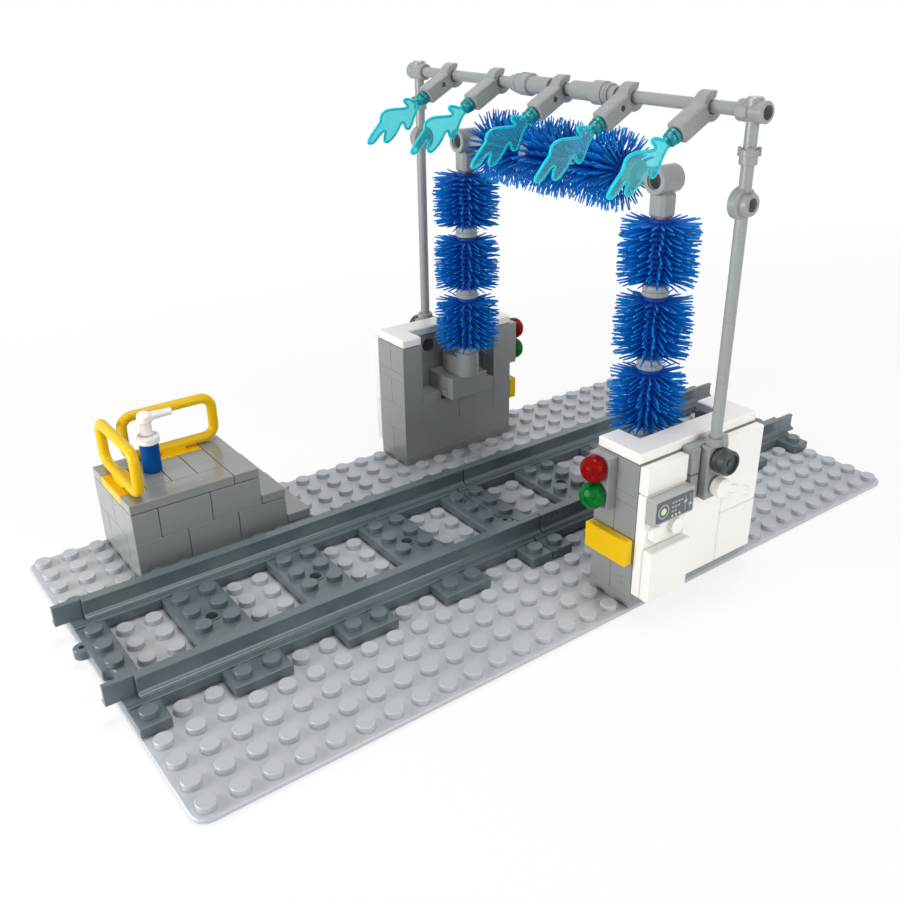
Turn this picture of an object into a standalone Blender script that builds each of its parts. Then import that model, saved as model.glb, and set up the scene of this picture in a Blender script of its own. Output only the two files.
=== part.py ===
"""Toy train wash station built from studded bricks.

Two lengths of toy railway track lie on a studded base plate. A low platform with steps,
handrails and a soap bottle stands beside them. Two brick towers carry upright brush
rollers, a third roller lies across between them, and a bar over the top holds five spray
nozzles. The model is in metres with +Z up. Its origin is the middle of the base plate's
underside, and the track runs along X.
"""

import math

import bmesh
import bpy
from mathutils import Matrix, Vector

MM = 0.001

# Building grid: every brick, tile and sleeper is a whole number of studs and plates.
STUD_PITCH = 8.0 * MM
STUD_DIAMETER = 4.8 * MM
STUD_HEIGHT = 1.7 * MM
PLATE_HEIGHT_SHARE = 0.4
PLATE_HEIGHT = STUD_PITCH * PLATE_HEIGHT_SHARE
BAR_DIAMETER = 3.2 * MM
PIN_HOLE_DIAMETER = 4.8 * MM
PIN_HOLE_RISE = 5.8 * MM
CLEARANCE = 0.3 * MM
HALF_GAP = CLEARANCE / 2
MERGE_DISTANCE = 0.001 * MM

# Base plate
BASE_STUDS = (32, 16)
BASE_THICKNESS = 1.5 * MM
BASE_CORNER_RADIUS = 4.0 * MM

# Track
TRACK_STUDS = 16
TRACK_SIDE_STUDS = 4
RAIL_SIDE_STUDS = 2.5
RAIL_FLANGE_WIDTH = 8.0 * MM
RAIL_FLANGE_HEIGHT = 3.0 * MM
RAIL_STEP_WIDTH = 5.6 * MM
RAIL_STEP_HEIGHT = 0.7 * MM
RAIL_FILLET_HEIGHT = 1.2 * MM
RAIL_HEAD_WIDTH = 2.6 * MM
RAIL_LIFT = 0.4 * MM
TONGUE_GAP = 0.4 * MM
END_SLEEPER_STUDS = 1
RAIL_TOP_LEVEL = 3
LUG_OFFSET = 0.6 * MM
LUG_HOLE_DIAMETER = 1.6 * MM
NOTCH_WALL = 0.4 * MM
SLEEPER_HOLE_DIAMETER = 3.6 * MM

# Handrails and soap bottle
HANDRAIL_STUDS = 4
HANDRAIL_RISE = 13.1 * MM
HANDRAIL_CORNER_RADIUS = 3.6 * MM
BOTTLE_DIAMETER = 6.4 * MM
BOTTLE_HEIGHT = 9.4 * MM
COLLAR_DIAMETER = 6.2 * MM
COLLAR_HEIGHT = 2.6 * MM
PUMP_NECK_DIAMETER = 3.4 * MM
PUMP_NECK_HEIGHT = 3.8 * MM
PUMP_HEAD_DIAMETER = 4.5 * MM
PUMP_HEAD_HEIGHT = 3.2 * MM
PUMP_CAP_HEIGHT = 0.8 * MM
PUMP_ARM_DIAMETER = 2.6 * MM
PUMP_REACH = 7.7 * MM
PUMP_RAIL_GAP = 0.4 * MM
PUMP_SIDE_GAP = 0.7 * MM

# Towers, in studs across, studs deep and plates high
TOWER_X_STUDS = 3
TOWER_INNER_STUDS = 6
TOWER_STUDS = 6
TOWER_DEPTH_STUDS = 2
TOWER_TOP_LEVEL = 14
NICHE_FLOOR_LEVEL = 7
BRACKET_LEVEL = 10
BRACKET_PLATES = 2
LAMP_PLATE_STUDS = 2
LAMP_DIAMETER = 7.8 * MM
LAMP_LENGTH = 5.0 * MM
LAMP_RIM = 1.6 * MM
GAUGE_DIAMETER = 8.0 * MM
GAUGE_LENGTH = 4.5 * MM
GAUGE_RIM = 1.2 * MM
GAUGE_RECESS = 0.8 * MM
TAP_KNOB_DIAMETER = 5.6 * MM
TAP_KNOB_LENGTH = 3.4 * MM
TAP_LEVER_DIAMETER = 2.8 * MM
TAP_LEVER_REACH = 14.0 * MM
TAP_LEVER_DROP_DEG = 22.0

# Brush rollers
BRUSH_DIAMETER = 23.0 * MM
BRUSH_LENGTH = 17.2 * MM
BRUSH_CORE_DIAMETER = 6.4 * MM
BRUSH_WALL_GAP = 1.5 * MM
SPACER_DIAMETER = 7.4 * MM
SPACER_LENGTH = 4.0 * MM
AXLE_DIAMETER = 3.2 * MM
SOCKET_WIDTH = 8.0 * MM
SOCKET_HEIGHT = 10.4 * MM
SOCKET_TOP_RADIUS = 1.5 * MM
SOCKET_BORE_DEPTH = 6.0 * MM
SOCKET_RUN_GAP = 0.7 * MM
HEAD_TUBE_DIAMETER = 7.4 * MM
HEAD_TUBE_LENGTH = 8.0 * MM
HEAD_POST_WIDTH = 5.6 * MM
HEAD_POST_LENGTH = 10.0 * MM
HEAD_BORE_DEPTH = 6.0 * MM
HEAD_SIDE_DEPTH = 1.0 * MM
BUSH_LENGTH = 3.6 * MM

# Spray bar and risers
BAR_GAP = 4.0 * MM
TEE_DIAMETER = 5.2 * MM
TEE_LENGTH = 8.0 * MM
TEE_BORE_DEPTH = 2.4 * MM
TEE_POST_DIAMETER = 4.8 * MM
TEE_POST_LENGTH = 6.0 * MM
TEE_KNOB_DIAMETER = 4.0 * MM
TEE_KNOB_HEIGHT = 4.0 * MM
RING_DROP = 21.3 * MM
RING_DIAMETER = 8.0 * MM
RING_LENGTH = 4.0 * MM
RING_BOSS_DIAMETER = 5.0 * MM
RING_BOSS_LENGTH = 1.6 * MM
RING_HOLE_DEPTH = 2.4 * MM
COLLAR_DROP = 10.0 * MM
RISER_COLLAR_DIAMETER = 5.8 * MM
RISER_COLLAR_NECK_DIAMETER = 5.0 * MM
RISER_COLLAR_HEIGHT = 4.6 * MM
SLEEVE_START = 4.5 * MM
SLEEVE_TUBE_DIAMETER = 5.0 * MM
SLEEVE_TUBE_LENGTH = 8.8 * MM
SLEEVE_BARREL_DIAMETER = 6.4 * MM
SLEEVE_BARREL_LENGTH = 4.3 * MM
SLEEVE_RING_DIAMETER = 5.6 * MM
SLEEVE_RING_LENGTH = 2.2 * MM
SLEEVE_TIP_DIAMETER = 4.6 * MM
SLEEVE_TIP_LENGTH = 2.2 * MM

# Spray nozzles
NOZZLE_DROP_DEG = 28.6
CLIP_DIAMETER = 7.4 * MM
CLIP_WIDTH = 3.8 * MM
CLIP_MOUTH_DEG = 80.0
NOZZLE_SIZE = 5.0 * MM
NOZZLE_REACH = 12.0 * MM
SPLASH_LENGTH = 25.0 * MM
SPLASH_SPAN = 9.2 * MM
SPLASH_THICKNESS = 2.2 * MM
SPLASH_STUB_DIAMETER = 4.2 * MM
SPLASH_STUB_LENGTH = 3.4 * MM

# Facet counts
STUD_SIDES = 6
BAR_SIDES = 8
BORE_SIDES = 8
ROUND_SIDES = 10
CORNER_STEPS = 3
BRISTLE_COLUMNS = 9
BRISTLE_ROWS = 6
SMOOTH_LIMIT_DEG = 50.0
BRUSHES = 3

# How far the rows of bristles fan out along the brush, and how their lengths vary.
BRISTLE_FAN_SHARE = 1.28
bristle_trim_shares = (1.0, 0.98, 0.96, 0.94)

# Outlines in studs from the middle of the base plate, and in plates where they rise.
platform_profile_shares = [
    (-13, 0), (-6, 0), (-6, 2), (-7, 2), (-7, 5), (-8, 5), (-8, 7), (-13, 7),
]
platform_depth_shares = (4, 8)
deck_outline_shares = [
    (-13, 4), (-8, 4), (-8, 8), (-9, 8), (-9, 7), (-11, 7),
    (-11, 8), (-13, 8), (-13, 7), (-12, 7), (-12, 5), (-13, 5),
]
end_foot_shares = (-13, -12, 5, 7)
back_foot_shares = (-11, -9, 7, 8)
deck_plate_shares = (7, 8)

# Outlines on a tower, in studs from its left end and from its track side.
tower_top_outline_shares = [
    (0, 2), (6, 2), (6, 0), (5, 0), (5, 1), (1, 1), (1, 0), (0, 0),
]
rod_bracket_outline_shares = [
    (2, 0), (4, 0), (4, 1), (3.5, 1), (3.5, 2), (2.5, 2), (2.5, 1), (2, 1),
]

# Places on a tower, in studs down from the top of its bricks.
lamp_drop_shares = {"red": 0.5, "green": 1.5}
rod_bracket_drop_shares = (-0.2, 1.8)
gauge_drop_share = 0.3
tap_drop_share = 1.3

# The niche, in studs from the tower's left end and in plates upward, open at the top.
niche_outline_shares = [(1, 8), (2, 8), (2, 7), (4, 7), (4, 8), (5, 8), (5, 15), (1, 15)]
pin_hole_share = (4, 11)

# Panels on a tower's outer face, in studs from its left end and down from its top.
wall_panel_outline_shares = [
    (0, 5), (6, 5), (6, 0), (4, 0), (4, 1.8), (2, 1.8), (2, 0), (0, 0),
]
wall_tile_shares = (0, 2, 3, 5)
control_panel_shares = (0, 2, 1, 2)
panel_stud_shares = [(0.5, 2.5), (1.5, 2.5)]

# Parts of the base plate whose studs are covered: first and last stud in X and in Y.
covered_stud_shares = [
    (-13, -6, 4, 8), (0, 6, -8, -6), (0, 6, 6, 8), (-16, 16, -3, -2), (-16, 16, 2, 3),
]

# Sleepers: first and last stud from the track's left end, and the stud rows on them.
full_sleeper_shares = [(3, 5), (7, 9), (11, 13)]
sleeper_row_shares = (-3.5, -1.5, -0.5, 0.5, 1.5, 3.5)

# Where the nozzles sit along the bar, far one first: shares of the way from the middle to a riser.
nozzle_place_shares = [0.73, 0.384, -0.04, -0.423, -0.798]

# The splash's edge: shares of its length out from the nozzle, and of its span across.
splash_outline_shares = [
    (0.00, 0.12), (0.08, 0.08), (0.16, 0.11), (0.20, 0.24), (0.27, 0.38), (0.30, 0.33),
    (0.27, 0.14), (0.29, 0.06), (0.42, 0.26), (0.55, 0.45), (0.64, 0.47), (0.69, 0.38),
    (0.71, 0.27), (0.82, 0.19), (0.97, 0.04), (1.00, -0.06), (0.94, -0.15), (0.86, -0.11),
    (0.75, -0.03), (0.70, -0.09), (0.76, -0.24), (0.79, -0.37), (0.74, -0.47), (0.59, -0.39),
    (0.46, -0.20), (0.42, -0.25), (0.44, -0.47), (0.40, -0.56), (0.33, -0.47), (0.24, -0.27),
    (0.14, -0.13), (0.00, -0.12),
]

# Finishes: base colour, roughness and metallic value.
FINISHES = {
    "base grey": ((0.44, 0.47, 0.50), 0.35, 0.0),
    "track grey": ((0.13, 0.15, 0.17), 0.4, 0.0),
    "stone grey": ((0.33, 0.35, 0.36), 0.35, 0.0),
    "bar grey": ((0.40, 0.42, 0.43), 0.35, 0.0),
    "white": ((0.88, 0.88, 0.86), 0.3, 0.0),
    "yellow": ((0.95, 0.62, 0.01), 0.3, 0.0),
    "bristle blue": ((0.01, 0.12, 0.62), 0.45, 0.0),
    "bottle blue": ((0.01, 0.16, 0.55), 0.3, 0.0),
    "clear turquoise": ((0.05, 0.68, 0.75), 0.1, 0.0),
    "clear red": ((0.72, 0.02, 0.04), 0.1, 0.0),
    "clear green": ((0.01, 0.42, 0.16), 0.1, 0.0),
    "panel slate": ((0.17, 0.20, 0.23), 0.4, 0.0),
    "gauge black": ((0.04, 0.05, 0.06), 0.35, 0.0),
}


def level(plates):
    """Height of the joint above a stack of plates on the base plate, in the middle of its gap."""
    return BASE_THICKNESS + HALF_GAP + plates * PLATE_HEIGHT


def grow(size, clearance=CLEARANCE):
    """Radius of a bore that clears a round piece of this diameter."""
    return size / 2 + clearance


STUD_RADIUS = STUD_DIAMETER / 2
BAR_RADIUS = BAR_DIAMETER / 2
BRUSH_RADIUS = BRUSH_DIAMETER / 2

TOWER_X = TOWER_X_STUDS * STUD_PITCH
TOWER_HALF = TOWER_STUDS * STUD_PITCH / 2
TOWER_INNER = TOWER_INNER_STUDS * STUD_PITCH
TOWER_OUTER = TOWER_INNER + TOWER_DEPTH_STUDS * STUD_PITCH
TOWER_TOP = level(TOWER_TOP_LEVEL)
NICHE_BACK = TOWER_INNER + STUD_PITCH
NICHE_CUTTER_DEPTH = TOWER_DEPTH_STUDS * STUD_PITCH
PANEL_LAYERS = [TOWER_OUTER + layer * PLATE_HEIGHT for layer in range(BRACKET_PLATES + 1)]

ROLLER_Y = NICHE_BACK - BRUSH_RADIUS - BRUSH_WALL_GAP
BRACKET_TOP = level(BRACKET_LEVEL) - HALF_GAP
SOCKET_TOP = BRACKET_TOP + SOCKET_HEIGHT
BRUSH_STEP = BRUSH_LENGTH + SPACER_LENGTH
STACK_LENGTH = BRUSHES * BRUSH_STEP - SPACER_LENGTH
STACK_BASE = SOCKET_TOP + SOCKET_RUN_GAP
STACK_TOP = STACK_BASE + STACK_LENGTH
STACK_MIDDLE = (STACK_BASE + STACK_TOP) / 2
HEAD_BASE = STACK_TOP + CLEARANCE
HEAD_Z = HEAD_BASE + HEAD_POST_LENGTH
BAR_Z = HEAD_Z + BRUSH_RADIUS + BAR_GAP + CLIP_DIAMETER / 2
RISER_Y = (PANEL_LAYERS[1] + PANEL_LAYERS[2]) / 2
BAR_BORE = grow(BAR_DIAMETER)


def circle(centre, radius, sides, turn=0.0):
    """Points of a regular polygon, anticlockwise."""
    x, y = centre
    angles = [turn + math.tau * step / sides for step in range(sides)]
    return [(x + radius * math.cos(angle), y + radius * math.sin(angle)) for angle in angles]


def arc(centre, radius, start, end, steps):
    """Points along an arc between two angles, both ends included."""
    x, y = centre
    angles = [start + (end - start) * step / steps for step in range(steps + 1)]
    return [(x + radius * math.cos(angle), y + radius * math.sin(angle)) for angle in angles]


def rounded_rectangle(half_x, half_y, radius, steps):
    """Points of a rectangle with round corners, anticlockwise."""
    quarter = math.pi / 2
    corners = ((1, 1), (-1, 1), (-1, -1), (1, -1))
    points = []
    for index, (side_x, side_y) in enumerate(corners):
        centre = (side_x * (half_x - radius), side_y * (half_y - radius))
        points += arc(centre, radius, index * quarter, (index + 1) * quarter, steps)
    return points


def square_inset(points, gap):
    """Draw a square-cornered anticlockwise outline inward by a gap."""
    inset = []
    for index, (x, y) in enumerate(points):
        before = Vector(points[index - 1])
        after = Vector(points[(index + 1) % len(points)])
        here = Vector((x, y))
        incoming = (here - before).normalized()
        outgoing = (after - here).normalized()
        shift = Vector((-incoming.y - outgoing.y, incoming.x + outgoing.x)) * gap
        inset.append(tuple(here + shift))
    return inset


def rectangle(x0, x1, y0, y1):
    """Points of a rectangle, anticlockwise."""
    return [(x0, y0), (x1, y0), (x1, y1), (x0, y1)]


def along_x(place=(0, 0, 0)):
    """Matrix that turns local Z onto +X and moves the origin."""
    return Matrix.Translation(place) @ Matrix.Rotation(math.pi / 2, 4, "Y")


def along_y(place=(0, 0, 0)):
    """Matrix that turns local Z onto +Y and moves the origin."""
    return Matrix.Translation(place) @ Matrix.Rotation(-math.pi / 2, 4, "X")


def outward(place=(0, 0, 0)):
    """Matrix that turns local Z onto -Y, with local X kept and local Y upward."""
    return Matrix.Translation(place) @ Matrix.Rotation(math.pi / 2, 4, "X")


def box(bm, low, high, place=Matrix()):
    """Add a box between two opposite corners."""
    low = Vector(low)
    high = Vector(high)
    size = Matrix.Diagonal((*(high - low), 1))
    bmesh.ops.create_cube(bm, size=1, matrix=place @ Matrix.Translation((low + high) / 2) @ size)


def cylinder(bm, radius, length, place=Matrix(), sides=ROUND_SIDES):
    """Add a cylinder that stands on the local origin along +Z."""
    centre = Matrix.Translation((0, 0, length / 2))
    bmesh.ops.create_cone(bm, cap_ends=True, segments=sides, radius1=radius, radius2=radius,
                          depth=length, matrix=place @ centre)


def turned(bm, profile, place=Matrix(), sides=ROUND_SIDES):
    """Add a body turned about local Z from its (radius, height) profile.

    A profile that starts and ends on the axis makes a solid, any other makes a ring."""
    known = set(bm.verts)
    verts = [bm.verts.new((radius, 0, height)) for radius, height in profile]
    edges = [bm.edges.new(pair) for pair in zip(verts, verts[1:])]
    if profile[0][0] > 0:
        edges.append(bm.edges.new((verts[-1], verts[0])))
    bmesh.ops.spin(bm, geom=verts + edges, cent=(0, 0, 0), axis=(0, 0, 1), angle=math.tau,
                   steps=sides, use_merge=True)
    added = [vert for vert in bm.verts if vert not in known]
    bmesh.ops.remove_doubles(bm, verts=added, dist=MERGE_DISTANCE)
    added = [vert for vert in bm.verts if vert not in known]
    bmesh.ops.transform(bm, matrix=place, verts=added)


def extruded(bm, outline, length, place=Matrix()):
    """Add a straight extrusion along local +Z of a closed outline, and return its end face."""
    verts = [bm.verts.new((x, y, 0)) for x, y in outline]
    start = bm.faces.new(verts)
    end = bmesh.ops.extrude_face_region(bm, geom=[start])["geom"]
    moved = [item for item in end if isinstance(item, bmesh.types.BMVert)]
    faces = [item for item in end if isinstance(item, bmesh.types.BMFace)]
    bmesh.ops.translate(bm, verts=moved, vec=(0, 0, length))
    bmesh.ops.transform(bm, matrix=place, verts=verts + moved)
    return faces[0]


def slab(bm, outline, low, high):
    """Add an upright extrusion of an outline between two heights."""
    extruded(bm, outline, high - low, Matrix.Translation((0, 0, low)))


def closed_loop(bm, points, height, place):
    """Add a closed loop of edges at one local height."""
    verts = [bm.verts.new(place @ Vector((x, y, height))) for x, y in points]
    return [bm.edges.new(pair) for pair in zip(verts, verts[1:] + verts[:1])]


def drawn_out(bm, edges, vector):
    """Extrude loops of edges by a vector, and return the loops at the far end."""
    result = bmesh.ops.extrude_edge_only(bm, edges=edges)["geom"]
    moved = {item for item in result if isinstance(item, bmesh.types.BMVert)}
    bmesh.ops.translate(bm, verts=list(moved), vec=vector)
    found = [item for item in result if isinstance(item, bmesh.types.BMEdge)]
    return [edge for edge in found if set(edge.verts) <= moved]


def studded_slab(bm, outline, holes, studs, low, high, place=Matrix()):
    """Add a slab between two local heights, with through holes and studs joined to its top."""
    up = place.to_3x3() @ Vector((0, 0, 1))
    rim = closed_loop(bm, outline, high, place)
    for points in holes:
        rim += closed_loop(bm, points, high, place)
    feet = []
    for centre in studs:
        feet += closed_loop(bm, circle(centre, STUD_RADIUS, STUD_SIDES), high, place)
    bmesh.ops.triangle_fill(bm, use_beauty=True, use_dissolve=False, edges=rim + feet)
    floor = drawn_out(bm, rim, up * (low - high))
    bmesh.ops.triangle_fill(bm, use_beauty=True, use_dissolve=False, edges=floor)
    if feet:
        bmesh.ops.edgeloop_fill(bm, edges=drawn_out(bm, feet, up * STUD_HEIGHT))


def new_object(name, bm, finish=None, parent=None, place=Matrix()):
    """Make an object from a mesh, with faces out, smooth round sides and its own material."""
    bmesh.ops.recalc_face_normals(bm, faces=bm.faces)
    mesh = bpy.data.meshes.new(name)
    bm.to_mesh(mesh)
    bm.free()
    mesh.shade_smooth()
    mesh.set_sharp_from_angle(angle=math.radians(SMOOTH_LIMIT_DEG))
    if finish:
        mesh.materials.append(new_material(name, finish))
    item = bpy.data.objects.new(name, mesh)
    bpy.context.collection.objects.link(item)
    item.parent = parent
    item.matrix_local = place
    return item


def new_material(name, finish):
    """Make a plastic material of one finish."""
    colour, roughness, metallic = FINISHES[finish]
    material = bpy.data.materials.new(name)
    material.use_nodes = True
    shader = material.node_tree.nodes["Principled BSDF"]
    shader.inputs["Base Color"].default_value = (*colour, 1)
    shader.inputs["Roughness"].default_value = roughness
    shader.inputs["Metallic"].default_value = metallic
    material.diffuse_color = (*colour, 1)
    return material


def combined(body, joined=(), cut=()):
    """Join meshes to a body and cut others from it, and return the result as one mesh."""
    base = new_object("body", body)
    tools = []
    for operation, meshes in (("UNION", joined), ("DIFFERENCE", cut)):
        for bm in meshes:
            tool = new_object("tool", bm)
            modifier = base.modifiers.new(operation.title(), "BOOLEAN")
            modifier.operation = operation
            modifier.solver = "EXACT"
            modifier.object = tool
            tools.append(tool)
    graph = bpy.context.evaluated_depsgraph_get()
    graph.update()
    result = bmesh.new()
    result.from_object(base, graph)
    for item in [base, *tools]:
        bpy.data.objects.remove(item)
    return result


def tower_x(studs):
    """Local place along a tower, from studs counted from its left end."""
    return studs * STUD_PITCH - TOWER_HALF


def tower_y(studs):
    """Local place across the near tower, from studs counted outward from its track side."""
    return -TOWER_INNER - studs * STUD_PITCH


def tower_drop(studs):
    """Height on a tower, from studs counted down from the top of its bricks."""
    return TOWER_TOP - studs * STUD_PITCH


def panel_box(bm, shares, layer, gap=HALF_GAP):
    """Add a flat panel to a layer on the near tower's outer face."""
    x0, x1, upper, lower = shares
    box(bm, (tower_x(x0) + gap, HALF_GAP - PANEL_LAYERS[layer + 1], tower_drop(lower) + gap),
        (tower_x(x1) - gap, -HALF_GAP - PANEL_LAYERS[layer], tower_drop(upper) - gap))


def make_baseplate():
    """Make the base plate, with a stud wherever nothing covers it."""
    half = [count * STUD_PITCH / 2 for count in BASE_STUDS]
    outline = rounded_rectangle(*half, BASE_CORNER_RADIUS, CORNER_STEPS)
    sleepers = []
    for first in (-TRACK_STUDS, 0):
        spans = [(0, END_SLEEPER_STUDS), *full_sleeper_shares,
                 (TRACK_STUDS - END_SLEEPER_STUDS, TRACK_STUDS)]
        sleepers += [(first + a, first + b, -TRACK_SIDE_STUDS, TRACK_SIDE_STUDS) for a, b in spans]
    studs = []
    for column in range(BASE_STUDS[0]):
        for row in range(BASE_STUDS[1]):
            x = column + 0.5 - BASE_STUDS[0] / 2
            y = row + 0.5 - BASE_STUDS[1] / 2
            covers = covered_stud_shares + sleepers
            if not any(x0 < x < x1 and y0 < y < y1 for x0, x1, y0, y1 in covers):
                studs.append((x * STUD_PITCH, y * STUD_PITCH))
    bm = bmesh.new()
    studded_slab(bm, outline, [], studs, 0, BASE_THICKNESS)
    new_object("baseplate", bm, "base grey")


def end_sleeper_outline():
    """Outline of a track's left half sleeper: a lug on one side and the next one's notch."""
    end = -TRACK_STUDS * STUD_PITCH / 2
    face = end + HALF_GAP
    side = TRACK_SIDE_STUDS * STUD_PITCH
    stud_distance = math.hypot(STUD_PITCH / 2 - LUG_OFFSET, STUD_PITCH / 2)
    notch_radius = stud_distance - STUD_RADIUS - NOTCH_WALL
    lug_radius = notch_radius - CLEARANCE
    quarter = math.pi / 2
    lug = arc((end - LUG_OFFSET, STUD_PITCH), lug_radius, quarter, 3 * quarter, BAR_SIDES)
    notch = arc((end + LUG_OFFSET, -STUD_PITCH), notch_radius, quarter, -quarter, BAR_SIDES)
    points = [(end + STUD_PITCH, -side), (end + STUD_PITCH, side), (face, side)]
    points += [(face, STUD_PITCH + lug_radius), *lug, (face, STUD_PITCH - lug_radius)]
    points += [(face, -STUD_PITCH + notch_radius), *notch, (face, -STUD_PITCH - notch_radius)]
    return points + [(face, -side)]


def rail_strips():
    """Outlines across a rail's web: its two sides and the sliver between, low and high.

    The low ones are sunk in the flange, and the high ones start just above it."""
    sunk = RAIL_FLANGE_HEIGHT / 2
    ledge = RAIL_FLANGE_HEIGHT + CLEARANCE
    step = RAIL_FLANGE_HEIGHT + RAIL_STEP_HEIGHT
    top = level(RAIL_TOP_LEVEL) - level(0) - CLEARANCE - RAIL_LIFT
    wide = RAIL_STEP_WIDTH / 2
    fillet_width = wide - RAIL_HEAD_WIDTH / 2
    high = [(HALF_GAP, ledge), (wide, ledge)]
    for turn in (0, math.pi / 4, math.pi / 2):
        high.append((wide - fillet_width * math.sin(turn),
                     step + RAIL_FILLET_HEIGHT * (1 - math.cos(turn))))
    high += [(RAIL_HEAD_WIDTH / 2, top), (HALF_GAP, top)]
    low = rectangle(HALF_GAP, wide, sunk, ledge)
    strips = []
    for side in (low, high):
        strips += [side, [(-x, z) for x, z in reversed(side)]]
    return strips + [rectangle(-HALF_GAP, HALF_GAP, sunk, ledge),
                     rectangle(-HALF_GAP, HALF_GAP, ledge, top)]


def rail_web(centre_y, low):
    """Make a rail's web, with a half tongue that reaches past each end."""
    bm = bmesh.new()
    length = (TRACK_STUDS - END_SLEEPER_STUDS) * STUD_PITCH
    tongue = STUD_PITCH - TONGUE_GAP
    for outline in rail_strips():
        bm.faces.new([bm.verts.new((-length / 2, y, z)) for y, z in outline])
    bmesh.ops.remove_doubles(bm, verts=bm.verts, dist=MERGE_DISTANCE)
    near_faces = list(bm.faces)
    far = bmesh.ops.extrude_face_region(bm, geom=near_faces)["geom"]
    far_verts = [item for item in far if isinstance(item, bmesh.types.BMVert)]
    far_faces = [item for item in far if isinstance(item, bmesh.types.BMFace)]
    bmesh.ops.translate(bm, verts=far_verts, vec=(length, 0, 0))
    for faces, side, reach in ((near_faces, 1, -tongue), (far_faces, -1, tongue)):
        face = max(faces, key=lambda item: tongue_rank(item, side))
        tip = bmesh.ops.extrude_discrete_faces(bm, faces=[face])["faces"][0]
        bmesh.ops.translate(bm, verts=tip.verts, vec=(reach, 0, 0))
    bmesh.ops.translate(bm, verts=bm.verts, vec=(0, centre_y, low))
    return bm


def tongue_rank(face, side):
    """Rank the faces of a rail's end so that the high one on the given side comes first."""
    middle = face.calc_center_median()
    if abs(middle.y) < HALF_GAP:
        return middle.z
    return middle.z + side * math.copysign(RAIL_HEAD_WIDTH, middle.y)


def make_track(name, centre_x):
    """Make one length of track: sleepers with studs, joined to two rails."""
    low = level(0) + HALF_GAP
    high = level(1) - HALF_GAP
    side = TRACK_SIDE_STUDS * STUD_PITCH
    half = TRACK_STUDS * STUD_PITCH / 2
    body = bmesh.new()
    for first, last in full_sleeper_shares:
        outline = [(first * STUD_PITCH - half, -side), (last * STUD_PITCH - half, -side),
                   (last * STUD_PITCH - half, side), (first * STUD_PITCH - half, side)]
        middle = (first + last) / 2 * STUD_PITCH - half
        hole = circle((middle, 0), SLEEPER_HOLE_DIAMETER / 2, BAR_SIDES)
        columns = (middle - STUD_PITCH / 2, middle + STUD_PITCH / 2)
        studs = [(x, row * STUD_PITCH) for x in columns for row in sleeper_row_shares]
        studded_slab(body, outline, [hole], studs, low, high)
    end_x = STUD_PITCH / 2 - half
    end_studs = [(end_x, row * STUD_PITCH) for row in sleeper_row_shares]
    lug_hole = circle((-half - LUG_OFFSET, STUD_PITCH), LUG_HOLE_DIAMETER / 2, STUD_SIDES)
    for turn in (0, math.pi):
        place = Matrix.Rotation(turn, 4, "Z")
        studded_slab(body, end_sleeper_outline(), [lug_hole], end_studs, low, high, place)
    flanges = bmesh.new()
    webs = []
    end = half - HALF_GAP - MERGE_DISTANCE
    for sign in (-1, 1):
        centre_y = sign * RAIL_SIDE_STUDS * STUD_PITCH
        box(flanges, (-end, centre_y - RAIL_FLANGE_WIDTH / 2, low + RAIL_LIFT),
            (end, centre_y + RAIL_FLANGE_WIDTH / 2, low + RAIL_LIFT + RAIL_FLANGE_HEIGHT))
        webs.append(rail_web(centre_y, low + RAIL_LIFT))
    new_object(name, combined(body, [flanges, *webs]), "track grey",
               place=Matrix.Translation((centre_x, 0, 0)))


def make_handrail(name, shares, deck, turn):
    """Make a handrail: a loop of bar on a pad, joined to the tile that it stands on."""
    x0, x1, y0, y1 = [share * STUD_PITCH for share in shares]
    top = level(deck[1]) - HALF_GAP
    centre = ((x0 + x1) / 2, (y0 + y1) / 2)
    foot = bmesh.new()
    slab(foot, square_inset(rectangle(x0, x1, y0, y1), HALF_GAP), level(deck[0]) + HALF_GAP, top)
    bar_z = top + CLEARANCE + BAR_RADIUS
    place = Matrix.Translation((*centre, bar_z)) @ Matrix.Rotation(turn, 4, "Z")
    pad = bmesh.new()
    box(pad, (-STUD_PITCH / 2, -BAR_RADIUS, -BAR_DIAMETER), (STUD_PITCH / 2, BAR_RADIUS, 0), place)
    length = HANDRAIL_STUDS * STUD_PITCH - BAR_DIAMETER
    points = rounded_rectangle(length / 2, HANDRAIL_RISE / 2, HANDRAIL_CORNER_RADIUS, CORNER_STEPS)
    loop = closed_tube([(x, 0, z + HANDRAIL_RISE / 2) for x, z in points])
    bmesh.ops.transform(loop, matrix=place, verts=loop.verts)
    new_object(name, combined(foot, [pad, loop]), "yellow")
    return centre


def closed_tube(points):
    """Make a tube of bar along a closed run of points."""
    curve = bpy.data.curves.new("tube", "CURVE")
    curve.dimensions = "3D"
    curve.bevel_depth = BAR_RADIUS
    curve.bevel_resolution = 2
    spline = curve.splines.new("POLY")
    spline.points.add(len(points) - 1)
    for point, place in zip(spline.points, points):
        point.co = (*place, 1)
    spline.use_cyclic_u = True
    holder = bpy.data.objects.new("tube", curve)
    bpy.context.collection.objects.link(holder)
    bm = bmesh.new()
    bm.from_mesh(holder.to_mesh())
    bpy.data.objects.remove(holder)
    bmesh.ops.recalc_face_normals(bm, faces=bm.faces)
    return bm


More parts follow.
